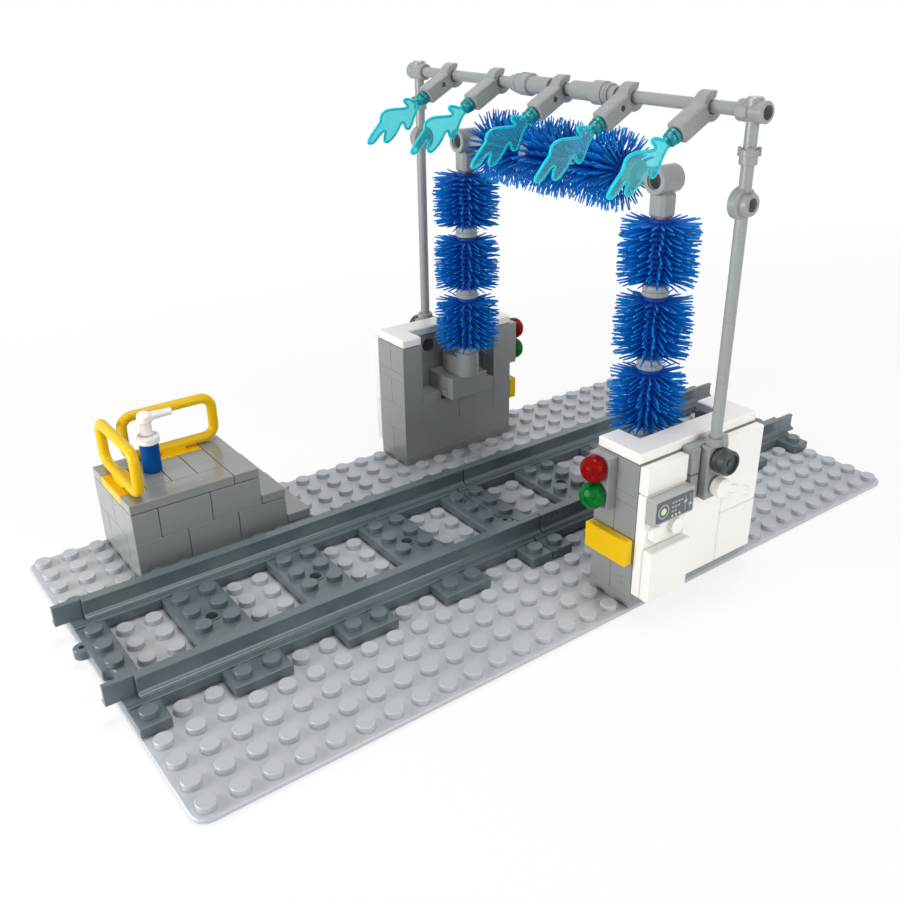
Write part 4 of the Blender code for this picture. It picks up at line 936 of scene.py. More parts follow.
@dataclass
class Platform:
    """The platform of bricks with its tiles, handrails and soap bottle."""

    brick_shares: tuple = (
        (-13, -6, 4, 8, 0, 1),
        (-13, -11, 4, 5, 1, 4), (-11, -9, 4, 5, 1, 4), (-9, -7, 4, 6, 1, 4), (-9, -7, 6, 8, 1, 4),
        (-13, -11, 5, 7, 1, 4), (-13, -11, 7, 8, 1, 4), (-11, -9, 5, 8, 1, 4),
        (-13, -12, 4, 6, 4, 7), (-12, -10, 4, 5, 4, 7), (-10, -8, 4, 5, 4, 7),
        (-13, -12, 6, 8, 4, 7), (-12, -10, 5, 8, 4, 7), (-10, -8, 5, 8, 4, 7),
        (-8, -7, 4, 8, 4, 5), (-7, -6, 4, 8, 1, 2))
    tile_shares: tuple = (
        (-13, -9, 4, 5), (-9, -8, 4, 8), (-12, -11, 5, 7), (-11, -10, 5, 7), (-10, -9, 5, 7),
        (-13, -11, 7, 8))
    handrail_shares: tuple = (
        ("handrail_end", (-13, -12, 5, 7), math.pi / 2), ("handrail_back", (-11, -9, 7, 8), 0.0))
    deck: Point = (7, 8)
    course: float = 0.015
    tile_gap: float = 0.22
    edge: float = 0.16
    rail_length: float = 32.0
    rail_rise: float = 13.1
    rail_corner: float = 3.6
    pad_drop: float = 0.6
    bottle: Point = (-90.0, 50.3)
    pump_arm: float = 5.4
    pump_lift: float = 12.3
    bottle_profile: tuple = (
        (0, 0), (2.55, 0), (2.85, 0.35), (2.85, 9.0), (2.6, 9.4), (0, 9.4))
    collar_profile: tuple = (
        (0, 9.35), (2.9, 9.35), (3.3, 9.6), (3.4, 11.4), (3.0, 11.95), (0, 11.95))
    neck_profile: tuple = (
        (0, 0.05), (1.7, 0.05), (1.7, 3.4), (2.0, 3.8), (2.3, 4.3), (2.3, 6.0), (1.9, 6.7),
        (1.2, 7.1), (0, 7.2))
    arm_profile: tuple = (
        (0, 0), (1.3, 0), (1.3, 4.2), (1.15, 4.6), (1.15, 7.9), (0.9, 8.2), (0, 8.2))

    def blocks(self, shares: Iterable[tuple], low: float = 0, high: float = 0) -> Form:
        """Build bricks or tiles from their places in studs and plates.

        Args:
            shares: Their spans along X, Y and, where they differ, Z.
            low: Level of their undersides, where the spans don't give it.
            high: Level of their tops.

        Returns:
            The form of all of them.
        """
        form = Form()
        for x0, x1, y0, y1, *plates in shares:
            bottom, top = plates or (low, high)
            under = self.course if top - bottom > 1 or not bottom else self.tile_gap
            form.block((x0 * GRID.pitch + GRID.seam, y0 * GRID.pitch + GRID.seam,
                        GRID.level(bottom) + under),
                       (x1 * GRID.pitch - GRID.seam, y1 * GRID.pitch - GRID.seam,
                        GRID.level(top) - self.course), self.edge)
        return form

    def handrail(self, name: str, shares: tuple, turn: float) -> None:
        """Build a handrail: a loop of bar on its pad and its tile.

        Args:
            name: Name of the solid that it stands for.
            shares: Its tile's span along X and Y, in studs.
            turn: How far the loop is turned from X.
        """
        x0, x1, y0, y1 = (share * GRID.pitch for share in shares)
        form = self.blocks([shares], *self.deck)
        radius = GRID.bar / 2
        top = GRID.level(self.deck[1])
        place = (Matrix.Translation(((x0 + x1) / 2, (y0 + y1) / 2, top + radius + GRID.gap / 2))
                 @ Matrix.Rotation(turn, 4, "Z"))
        form.block((-GRID.pitch / 2, -radius, self.pad_drop - GRID.bar),
                   (GRID.pitch / 2, radius, 0), GRID.gap, place)
        run = rounded((self.rail_length - GRID.bar) / 2, self.rail_rise / 2, self.rail_corner, 8)
        form.tube([(x, 0, z + self.rail_rise / 2) for x, z in run], radius, place, True)
        publish(form, f"{name}_loop", YELLOW, "station", [name])

    def soap(self) -> None:
        """Build the bottle, its collar and the pump."""
        low = GRID.level(self.deck[1])
        spot = Facing.UP.at(*self.bottle, low)
        publish(Form().lathe(self.bottle_profile, spot), "soap_bottle", BOTTLE_BLUE, "station",
                ["bottle_body"])
        publish(Form().lathe(self.collar_profile, spot), "bottle_collar", WHITE, "station")
        pump = Form().lathe(self.neck_profile)
        pump.lathe(self.arm_profile, Facing.EAST.at(0, 0, self.pump_arm), 24)
        publish(pump, "bottle_pump_head", WHITE, "pump", ["bottle_pump"],
                Matrix.Translation((*self.bottle, low + self.pump_lift - GRID.gap / 2)))

    def build(self) -> None:
        """Build the platform and what stands on it."""
        publish(self.blocks(self.brick_shares), "platform_brickwork", STONE_GREY, "station",
                ["platform_bricks"])
        publish(self.blocks(self.tile_shares, *self.deck), "platform_tiles", TILE_GREY,
                "station", ["platform_deck"])
        for name, shares, turn in self.handrail_shares:
            self.handrail(name, shares, turn)
        self.soap()


# Towers


class Side(Enum):
    """Which tower: its name and how far it is turned about the arch."""

    NEAR = ("near", 0.0)
    FAR = ("far", math.pi)


@dataclass
class Tower:
    """A brick tower with its panels, lamps, gauge, tap, roller socket and riser."""

    side: Side
    centre: float = 24.0
    half: float = 24.0
    inner: float = 48.0
    outer: float = 64.0
    top_level: int = 14
    roller_y: float = 43.0
    socket_top: float = 43.9
    head_z: float = 114.5
    head_drop: float = 10.0
    bar_z: float = 133.7
    riser_y: float = 68.8
    layers: tuple = (64.0, 67.2, 70.4)
    fit: float = 0.1
    brick_shares: tuple = (
        (0, 6, 0, 2, 0, 1),
        (0, 6, 0, 1, 1, 4), (0, 6, 1, 2, 1, 4),
        (0, 1, 0, 1, 4, 7), (1, 3, 0, 1, 4, 7), (3, 6, 0, 2, 4, 7), (0, 3, 1, 2, 4, 7),
        (0, 1, 0, 1, 7, 10), (0, 6, 1, 2, 7, 10), (5, 6, 0, 1, 7, 10),
        (0, 1, 0, 2, 10, 11), (1, 5, 1, 2, 10, 11), (5, 6, 0, 2, 10, 11),
        (0, 1, 0, 1, 11, 14), (0, 2, 1, 2, 11, 14), (2, 3, 1, 2, 11, 14), (5, 6, 0, 1, 11, 14),
        (5, 6, 1, 2, 11, 14))
    pin_brick_share: tuple = (3, 5, 1, 2, 11, 14)
    pin_x_share: float = 4
    pin_z: float = 42.65
    pin_rim_profile: tuple = ((2.4, -0.4), (3.1, -0.4), (3.1, 0.05), (2.4, 0.05))
    ledge_shares: tuple = ((1, 2, 0, 1, 7, 8), (4, 5, 0, 1, 7, 8))
    top_outline_shares: tuple = (
        (0, 2), (6, 2), (6, 0), (5, 0), (5, 1), (1, 1), (1, 0), (0, 0))
    top_edge: float = 0.4
    panel_shares: tuple = (
        (0, 2, 0, 1, 0), (0, 2, 1, 5, 0), (2, 4, 1.8, 5, 0), (4, 6, 0, 3, 0), (4, 6, 3, 5, 0),
        (0, 2, 3, 5, 1))
    panel_stud_shares: tuple = ((0.5, 2.5), (1.5, 2.5))
    bracket_shares: tuple = ((2, 4, -0.2, 0.8, 0), (2, 4, 0.8, 1.8, 0), (2.5, 3.5, -0.2, 1.8, 1))
    strip_shares: tuple = ((2.04, 2.42, -0.15, 0.78), (2.04, 2.42, 0.82, 1.75))
    strip_depth: float = 0.9
    strip_edge: float = 0.15
    foot_profile: tuple = ((1.7, 0), (2.7, 0), (2.7, 1.7), (2.4, 2.0), (1.7, 2.0))
    tile_level: int = 7
    tile_edge: float = 0.3
    gauge_drop_share: float = 0.3
    tap_drop_share: float = 1.3
    brick_seam: Point = (0.04, 0.01)
    brick_edge: float = 0.1
    lamp_shares: tuple = (("red", CLEAR_RED, 0.5), ("green", CLEAR_GREEN, 1.5))
    dome: tuple = (3.9, 1.6, 3.4)
    dome_foot_profile: tuple = ((0, 0), (3.5, 0), (3.5, 0.5), (3.9, 0.7), (3.9, 1.6))
    gauge_profile: tuple = (
        (0, 0), (3.1, 0), (3.6, 0.4), (3.6, 1.5), (3.35, 1.7), (3.35, 2.0), (3.6, 2.2),
        (3.6, 4.0), (3.2, 4.5), (2.7, 4.5), (2.5, 3.75), (1.0, 3.6), (0.8, 3.95), (0, 4.0))
    knob_profile: tuple = (
        (0, 0), (2.3, 0), (2.8, 0.3), (2.8, 1.0), (2.6, 1.2), (2.6, 1.5), (2.8, 1.7), (2.8, 2.9),
        (2.2, 3.4), (0, 3.4))
    lever_profile: tuple = (
        (0, 0), (1.3, 0.2), (1.4, 2.4), (1.1, 2.9), (1.1, 6.4), (1.4, 6.9), (1.4, 13.0),
        (1.1, 13.6), (0.7, 13.95), (0, 14.0))
    lever_out: float = 1.7
    lever_dip_deg: float = 22.0
    face: tuple = (7.1, 3.1, 0.5, 0.12)
    print_rise: float = 0.06
    dial_x: float = -4.4
    dial_rim: Point = (1.75, 2.1)
    dial_radius: float = 1.0
    mark: tuple = (-1.2, 1.15, 0.75, 1.3, 0.5)
    slider_places: Point = (4.0, 5.9)
    slider: tuple = (0.22, 2.2, 0.5, 0.8)
    slider_knob: tuple = (3.0, 1.4, 0.08)
    button: tuple = (-0.8, 1.4, 2.4, 0.36)
    socket_half: float = 7.85
    socket_deep: float = 8.0
    socket_shelf: tuple = (4.8, 4.9, 7.0)
    socket_front: tuple = (3.2, 3.3, 0.3)
    socket_lug: tuple = (7.0, 4.9, 1.0, 3.0, 2.6)
    socket_radius: float = 4.0
    socket_neck: tuple = (3.1, 1.6, 0.4, 0.25)
    socket_rib: tuple = (5.0, 0.5, 6.6, 0.5)
    bore: float = 1.9
    pin_bore: float = 2.3
    head_profile: tuple = (
        (2.4, -4.0), (3.5, -4.0), (3.7, -3.8), (3.7, 3.8), (3.5, 4.0), (2.4, 4.0), (2.4, 3.4),
        (2.15, 3.2), (2.15, -3.2), (2.4, -3.4))
    head_post: tuple = (2.8, 2.9, 0.9)
    rod_top_drop: float = 2.0
    ring_drop: float = 21.3
    ring_back: float = 2.0
    ring_profile: tuple = (
        (0, 0), (3.7, 0), (3.95, 0.3), (3.95, 2.7), (3.7, 3.0), (3.1, 3.0), (2.9, 3.2),
        (2.8, 4.6), (2.6, 4.8), (1.7, 4.8), (1.7, 2.6), (0, 2.6))
    collar_drop: float = 10.0
    collar_profile: tuple = (
        (0, -2.1), (2.1, -2.1), (2.25, -1.9), (2.25, 0), (2.4, 0.15), (2.4, 1.4), (2.2, 1.5),
        (0, 1.5))
    collar_tooth: tuple = ((1.8, -0.8, -0.1), (2.75, 0.8, 2.0), 0.15)
    tee_profile: tuple = (
        (0, -1.6), (1.7, -1.6), (1.7, -4.0), (2.3, -4.0), (2.6, -3.7), (2.6, -1.9),
        (2.45, -1.7), (2.45, 1.7), (2.6, 1.9), (2.6, 3.7), (2.3, 4.0), (1.7, 4.0), (1.7, 1.6),
        (0, 1.6))
    tee_stub: tuple = (2.1, 3.2, 0.3)
    tee_clip: tuple = ((-2.85, 0.2, -1.3), (-1.2, 3.4, 1.1), 0.2)

    @property
    def place(self) -> Matrix:
        """Where the tower stands."""
        return Facing.UP.at(self.centre) @ Matrix.Rotation(self.side.value[1], 4, "Z")

    def name(self, part: str) -> str:
        """Name of one of this tower's parts."""
        return f"{self.side.value[0]}_{part}"

    def x(self, studs: float) -> float:
        """Local place along the tower."""
        return studs * GRID.pitch - self.half

    def y(self, studs: float) -> float:
        """Local place across the tower, outward from its track side."""
        return -self.inner - studs * GRID.pitch

    def drop(self, studs: float) -> float:
        """Height, in studs down from the top of the bricks."""
        return GRID.level(self.top_level) - studs * GRID.pitch

    def piece(self, form: Form, part: str, finish: Moulded, node: Optional[str] = None,
              body: str = "station", shift: Place = (0, 0, 0)) -> None:
        """Publish a part of this tower.

        Args:
            form: Its shape.
            part: Its name without the tower's.
            finish: What it is made of.
            node: The solid that it stands for, without the tower's name.
            body: Name of the body that it moves with.
            shift: Where its shape's origin goes on the tower.
        """
        nodes = [self.name(node)] if node else []
        publish(form, self.name(part), finish, body, nodes,
                self.place @ Matrix.Translation(shift))

    def brick(self, form: Form, shares: tuple) -> Form:
        """Add one brick.

        Args:
            form: What it is added to.
            shares: Its span along X, Y and Z, in studs and plates.

        Returns:
            The same form.
        """
        x0, x1, y0, y1, low, high = shares
        side, course = self.brick_seam
        return form.block((self.x(x0) + side, self.y(y1) + side, GRID.level(low) + course),
                          (self.x(x1) - side, self.y(y0) - side, GRID.level(high) - course),
                          self.brick_edge)

    def panel(self, form: Form, x0: float, x1: float, upper: float, lower: float,
              layer: int) -> Form:
        """Add a flat panel to a layer of the outer face.

        Args:
            form: What it is added to.
            x0: Where it starts along the tower, in studs.
            x1: Where it ends, in studs.
            upper: Its top, in studs down from the top of the bricks.
            lower: Its bottom, counted the same way.
            layer: How many layers lie under it.

        Returns:
            The same form.
        """
        seam = GRID.seam
        return form.block(
            (self.x(x0) + seam, seam - self.layers[layer + 1], self.drop(lower) + seam),
            (self.x(x1) - seam, -seam - self.layers[layer], self.drop(upper) - seam),
            self.tile_edge)

    def walls(self) -> None:
        """Build the bricks, the niche's ledges and the plate that carries the lamps."""
        form = Form()
        for shares in self.brick_shares + self.ledge_shares:
            self.brick(form, shares)
        x = self.x(self.pin_x_share)
        pin = Form().rod(self.pin_rim_profile[0][0], 30.0,
                         Facing.NORTH.at(x, -self.outer - GRID.pitch, self.pin_z))
        form.take(self.brick(Form(), self.pin_brick_share).carve(pin))
        form.lathe(self.pin_rim_profile, Facing.NORTH.at(x, self.y(1), self.pin_z), 32)
        form.block((-self.half - GRID.plate + self.fit, self.y(1) + self.fit, self.drop(2)),
                   (1 - self.half, self.y(0) - GRID.gap, self.drop(0) - GRID.gap))
        self.piece(form, "tower_brickwork", STONE_GREY, "tower_bricks")

    def skin(self) -> None:
        """Build the white tiles and panels, and the yellow tile."""
        fit = self.fit
        outline = [(self.x(x), self.y(y)) for x, y in self.top_outline_shares]
        tiles = Form().prism(inset(outline, GRID.seam), GRID.plate - 2 * fit,
                             Facing.UP.at(0, 0, self.drop(0) + fit), self.top_edge)
        self.piece(tiles, "top_tile_ring", WHITE, "top_tiles")
        panels = Form()
        for shares in self.panel_shares:
            self.panel(panels, *shares)
        for x, z in self.panel_stud_shares:
            panels.stud(self.x(x), self.drop(z), self.layers[1] - fit, Facing.SOUTH.at())
        self.piece(panels, "wall_panel_set", WHITE, "wall_panels")
        self.bracket()
        level = GRID.level(self.tile_level)
        tile = Form().block(
            (-self.half - GRID.plate + fit, self.y(2) + fit, level - GRID.pitch + fit),
            (-self.half - fit, self.y(0) - fit, level - fit), self.tile_edge)
        self.piece(tile, "yellow_end_tile", YELLOW, "yellow_tile")

    def bracket(self) -> None:
        """Build the bracket that carries the rod."""
        form = Form()
        for shares in self.bracket_shares:
            self.panel(form, *shares)
        face = -self.layers[1]
        for x0, x1, upper, lower in self.strip_shares:
            form.block((self.x(x0), face - self.strip_depth, self.drop(lower)),
                       (self.x(x1), face + self.fit, self.drop(upper)), self.strip_edge)
        foot = self.drop(self.bracket_shares[0][2]) - self.fit
        form.lathe(self.foot_profile, Facing.UP.at(0.0, -self.riser_y, foot), 32)
        self.piece(form, "rod_bracket_stack", BAR_GREY, "rod_bracket")

    def controls(self) -> None:
        """Build the control panel: a grey tile, its slate face and a generic print."""
        self.piece(self.panel(Form(), 0, 2, 1, 2, 1), "control_tile", PANEL_GREY, "control_panel")
        y = -self.layers[2] + GRID.seam
        x, z = self.x(1), self.drop(1.5)
        half_x, half_z, corner, depth = self.face
        slate = Form().prism(rounded(half_x, half_z, corner, 3), depth, Facing.SOUTH.at(x, y, z),
                             0)
        self.piece(slate, "control_face", SLATE)
        y -= depth
        rise = self.print_rise
        marks = Form()
        small, large = self.dial_rim
        marks.lathe([(small, 0), (large, 0), (large, rise), (small, rise)],
                    Facing.SOUTH.at(x + self.dial_x, y, z), 32)
        first, pitch, width, row_pitch, height = self.mark
        for row in range(3):
            for column in range(4 - row):
                left = x + first + pitch * column
                low = z + row_pitch - row_pitch * row
                marks.block((left, y - rise, low), (left + width, y, low + height), 0.01)
        wide, half_long, ear, tall = self.slider
        knob_z, knob_fall, knob_rise = self.slider_knob
        for side in self.slider_places:
            low = z + knob_z - side / knob_fall
            marks.block((x + side, y - rise, z - half_long),
                        (x + side + wide, y, z + half_long), 0.01)
            marks.block((x + side - ear, y - knob_rise, low),
                        (x + side + wide + ear, y, low + tall), 0.02)
        self.piece(marks, "control_marks", PRINT_PALE)
        dial = Form().rod(self.dial_radius, knob_rise, Facing.SOUTH.at(x + self.dial_x, y, z),
                          0.02)
        first, pitch, below, radius = self.button
        for step in range(3):
            dial.rod(radius, rise, Facing.SOUTH.at(x + first + pitch * step, y, z - below), 0.01,
                     16)
        self.piece(dial, "control_dial", PRINT_YELLOW)

    def trim(self) -> None:
        """Build the lamps and the gauge."""
        x = -self.half - GRID.plate - GRID.gap / 2
        y = -(self.inner + GRID.pitch / 2)
        radius, foot, rise = self.dome
        dome = [*self.dome_foot_profile]
        dome += [(r, foot + h * rise / radius) for r, h in arc((0, 0), radius, 10, 80, 7)]
        dome.append((0, foot + rise))
        for colour, finish, down in self.lamp_shares:
            lamp = Form().lathe(dome, Facing.WEST.at(x, y, self.drop(down)))
            self.piece(lamp, f"{colour}_lens", finish, f"{colour}_lamp")
        wheel = Form().lathe(self.gauge_profile, Facing.SOUTH.at(
            0, -self.layers[2] - GRID.gap / 2, self.drop(self.gauge_drop_share)))
        self.piece(wheel, "gauge_wheel", GAUGE_BLACK, "gauge")

    def tap(self) -> None:
        """Build the tap: a ridged knob and the lever that turns with it."""
        start = -self.layers[2] - GRID.gap / 2
        form = Form().lathe(self.knob_profile, Facing.SOUTH.at(0, start, 0))
        down = Matrix.Rotation(math.radians(self.lever_dip_deg), 4, "Y") @ Facing.EAST.at()
        form.lathe(self.lever_profile,
                   Matrix.Translation((0, start - self.lever_out, 0)) @ down, 24)
        self.piece(form, "tap_lever", WHITE, "tap", self.name("lever"),
                   (0, 0, self.drop(self.tap_drop_share)))

    def socket(self) -> None:
        """Build the bracket out of the niche and the socket of the upright roller."""
        top = GRID.level(10) - GRID.gap / 2
        front = -self.inner + 2 * GRID.plate
        back = -self.inner - GRID.pitch + 2 * self.fit
        half, deep = self.socket_half, self.socket_deep
        upper, lower, narrow = self.socket_shelf
        nose, setback, edge = self.socket_front
        form = Form()
        form.block((-narrow, back, top - deep), (half, front - setback, top - lower))
        form.block((-half, back, top - upper), (half, front - setback, top))
        form.block((-half, front - nose, top - deep), (half, front, top), edge)
        left, right, behind, ahead, rise = self.socket_lug
        form.block((-left, -self.inner - behind, top - 2 * self.fit),
                   (-right, -self.inner + ahead, top + rise))
        foot = Facing.UP.at(0, -self.roller_y, top - GRID.gap)
        height = self.socket_top - top + GRID.gap
        radius = self.socket_radius
        neck, neck_rise, post_edge, neck_edge = self.socket_neck
        post = Form().rod(radius, height - neck_rise, foot, post_edge, 40)
        post.rod(neck, height, foot, neck_edge, 36)
        bore = Form().rod(self.bore, 12.0, Facing.UP.at(0, -self.roller_y, self.socket_top - 6),
                          0.1)
        form.take(post.carve(bore))
        behind, ahead, rise, edge = self.socket_rib
        form.block((-radius, -self.inner - behind, top - GRID.gap),
                   (radius, -self.roller_y - ahead, top + rise), edge)
        self.piece(form, "socket_block", STONE_GREY, "roller_socket")

    def head(self) -> None:
        """Build the pin tube and the post that join the upright roller to the top one."""
        half, top, edge = self.head_post
        post = Form().block((-half, -half, -self.head_drop), (half, half, -top), edge)
        post.carve(Form().rod(self.bore, 6.0, Facing.UP.at(0, 0, -self.head_drop - 0.3), 0.1),
                   Form().rod(self.pin_bore, 9.0, Facing.EAST.at(-4.5, 0, 0), 0.1))
        form = Form().lathe(self.head_profile, Facing.EAST.at()).take(post)
        self.piece(form, "head_joint", BAR_GREY, "roller_head",
                   shift=(0, -self.roller_y, self.head_z))

    def riser(self) -> None:
        """Build the rod with its ring and collar, and the tee on top."""
        low = self.drop(self.bracket_shares[0][2]) + GRID.gap / 2
        top = self.bar_z - self.rod_top_drop
        form = Form().rod(GRID.bar / 2, top - low, Facing.UP.at(0, -self.riser_y, low))
        form.lathe(self.ring_profile, Facing.SOUTH.at(0, self.ring_back - self.riser_y,
                                                      self.bar_z - self.ring_drop))
        collar = Facing.UP.at(0, -self.riser_y, self.bar_z - self.collar_drop)
        form.lathe(self.collar_profile, collar, 32)
        for angle in range(45, 405, 90):
            form.block(*self.collar_tooth, collar @ Matrix.Rotation(math.radians(angle), 4, "Z"))
        self.piece(form, "riser_pole", BAR_GREY, "riser_rod")
        radius, height, edge = self.tee_stub
        tee = Form().lathe(self.tee_profile, Facing.NORTH.at()).rod(radius, height, edge=edge)
        tee.block(*self.tee_clip)
        self.piece(tee, "tee_joint", BAR_GREY, "riser_tee", shift=(0, -self.riser_y, self.bar_z))

    def build(self) -> None:
        """Build everything on this tower."""
        for make in (self.walls, self.skin, self.controls, self.trim, self.tap, self.socket,
                     self.head, self.riser):
            make()


# Rollers and spray bar


@dataclass
class Roller:
    """A brush roller: its axle with spacers, and three brushes of bristles."""

    name: str
    place: Matrix
    ends: Point
    finish: Bristly
    bush: float = 0.0
    brushes: int = 3
    length: float = 17.2
    spacer: float = 4.0
    spacer_gap: float = 0.3
    ring_profile: tuple = (
        (0, 0), (3.4, 0), (3.7, 0.3), (3.7, 1.4), (3.5, 1.6), (3.5, 1.8), (3.7, 2.0), (3.7, 3.1),
        (3.4, 3.4), (0, 3.4))
    bore: float = 1.8
    core: float = 3.1
    reach: float = 11.5
    columns: int = 24
    rows: int = 11
    row_margin: float = 0.6
    strand: float = 0.36
    strand_root: float = 0.4
    taper_shares: tuple = ((0.35, 0.95), (0.7, 0.9), (1.0, 0.75))
    fan_share: float = 1.05
    round_share: float = 0.05
    trim_share: float = 0.08
    droop: Point = (-0.9, 0.6)
    jitter_share: float = 0.15

    def axle(self) -> Form:
        """Build the axle with its ring spacers.

        Returns:
            The form, with the roller's middle at its origin.
        """
        step = self.length + self.spacer
        half = (self.brushes * step - self.spacer) / 2
        form = Form().rod(GRID.bar / 2, sum(self.ends), Facing.UP.at(0, 0, -self.ends[0]))
        for gap in range(1, self.brushes):
            low = gap * step - self.spacer - half + self.spacer_gap
            form.lathe(self.ring_profile, Facing.UP.at(0, 0, low), 36)
        if self.bush:
            stretch = self.bush / self.ring_profile[-1][1]
            bush = [(radius, height * stretch) for radius, height in self.ring_profile]
            for start in (-half - self.spacer_gap - self.bush, half + self.spacer_gap):
                form.lathe(bush, Facing.UP.at(0, 0, start), 36)
        return form

    def bristle(self, height: float, length: float, droop: float) -> Form:
        """Build one bristle, from the core out along X, curving away from the middle.

        Args:
            height: Where it is rooted along the roller.
            length: How far it reaches.
            droop: How far its tip is bent along the roller.

        Returns:
            The form of one bristle.
        """
        form = Form()
        bm = form.bm
        root = self.core - self.strand_root
        made = bmesh.ops.create_circle(bm, cap_ends=True, segments=4, radius=self.strand,
                                       matrix=Facing.EAST.at(root, 0, height))
        verts = made["verts"]
        edges = list({edge for vert in verts for edge in vert.link_edges})
        rise = height * (self.fan_share - 1) + droop
        before = (0.0, 0.0)
        for share, width in self.taper_shares:
            along = share * length
            lift = rise * share ** 2
            grown = bmesh.ops.extrude_edge_only(bm, edges=edges)["geom"]
            verts = vertices(grown)
            ends = set(verts)
            edges = [item for item in grown if isinstance(item, bmesh.types.BMEdge)
                     and set(item.verts) <= ends]
            bmesh.ops.translate(bm, verts=verts, vec=(along - before[0], 0, lift - before[1]))
            middle = Vector((root + along, 0, height + lift))
            bmesh.ops.scale(bm, vec=(1, width, width), verts=verts,
                            space=Matrix.Translation(-middle))
            before = (along, lift)
        bmesh.ops.contextual_create(bm, geom=edges)
        bmesh.ops.recalc_face_normals(bm, faces=bm.faces)
        return form

    def brush(self, seed: int) -> Form:
        """Build a brush: a core and its rows of bristles.

        Args:
            seed: What its bristles' chances start from.

        Returns:
            The form, with the brush's middle at its origin.
        """
        chance = random.Random(seed)
        half = self.length / 2
        form = Form().lathe([(self.bore, -half), (self.core, -half), (self.core, half),
                             (self.bore, half)], sides=30)
        for row in range(self.rows):
            height = ((row + 0.5) / self.rows - 0.5) * (self.length - self.row_margin)
            for column in range(self.columns):
                trim = 1 - self.trim_share * chance.random()
                ends = self.round_share * abs(2 * height / self.length) ** 3
                length = self.reach * (trim - ends) - self.core + self.strand_root
                strand = self.bristle(height, length, chance.uniform(*self.droop))
                jitter = chance.uniform(-self.jitter_share, self.jitter_share)
                turn = math.tau * (column + jitter) / self.columns
                form.take(strand, Matrix.Rotation(turn, 4, "Z"))
        return form

    def build(self) -> None:
        """Build the axle and the three brushes."""
        body = f"{self.name}_roller"
        publish(self.axle(), f"{self.name}_axle_turned", BAR_GREY, body, [f"{self.name}_axle"],
                self.place)
        for index in range(self.brushes):
            middle = (index - (self.brushes - 1) / 2) * (self.length + self.spacer)
            publish(self.brush(index + len(self.name)), f"{self.name}_bristles_{index + 1}",
                    self.finish, body, [f"{self.name}_brush_{index + 1}"],
                    self.place @ Facing.UP.at(0, 0, middle))


def rollers(tower: Tower) -> list[Roller]:
    """Lay out the two upright rollers and the one across.

    Args:
        tower: The near tower, for the sizes that the rollers share with it.

    Returns:
        The three rollers, ready to build.
    """
    lift, seat, gap, clearance, pin_seat = 0.7, 6.0, 0.3, 0.6, 1.0
    head_half = tower.head_profile[2][0]
    stack = 3 * Roller.length + 2 * Roller.spacer
    middle = tower.socket_top + lift + stack / 2
    upright = (middle - tower.socket_top + seat - gap, stack / 2 + gap + seat - clearance)
    reach = tower.roller_y - head_half + pin_seat - gap
    x = tower.centre
    spots = (
        ("near", Facing.UP.at(x, -tower.roller_y, middle), upright, (1, 1, 0), 0.0),
        ("far", Facing.UP.at(x, tower.roller_y, middle), upright, (1, 1, 0), 0.0),
        ("top", Facing.NORTH.at(x, 0, tower.head_z), (reach, reach), (1, 0, 1), 3.6))
    made = []
    for name, place, ends, across, bush in spots:
        spot = tuple(value * keep for value, keep in zip(place.translation, across))
        # The blue is the bristles' tips; the finish paints shade towards the axle.
        finish = Bristly(f"{name} bristle blue", "bristle_blue", (0.004, 0.265, 0.76), 0.42,
                         scuffs=0.12, skin=0.02, specular=0.22, axle=spot, across=across)
        made.append(Roller(name, place, ends, finish, bush))
    return made


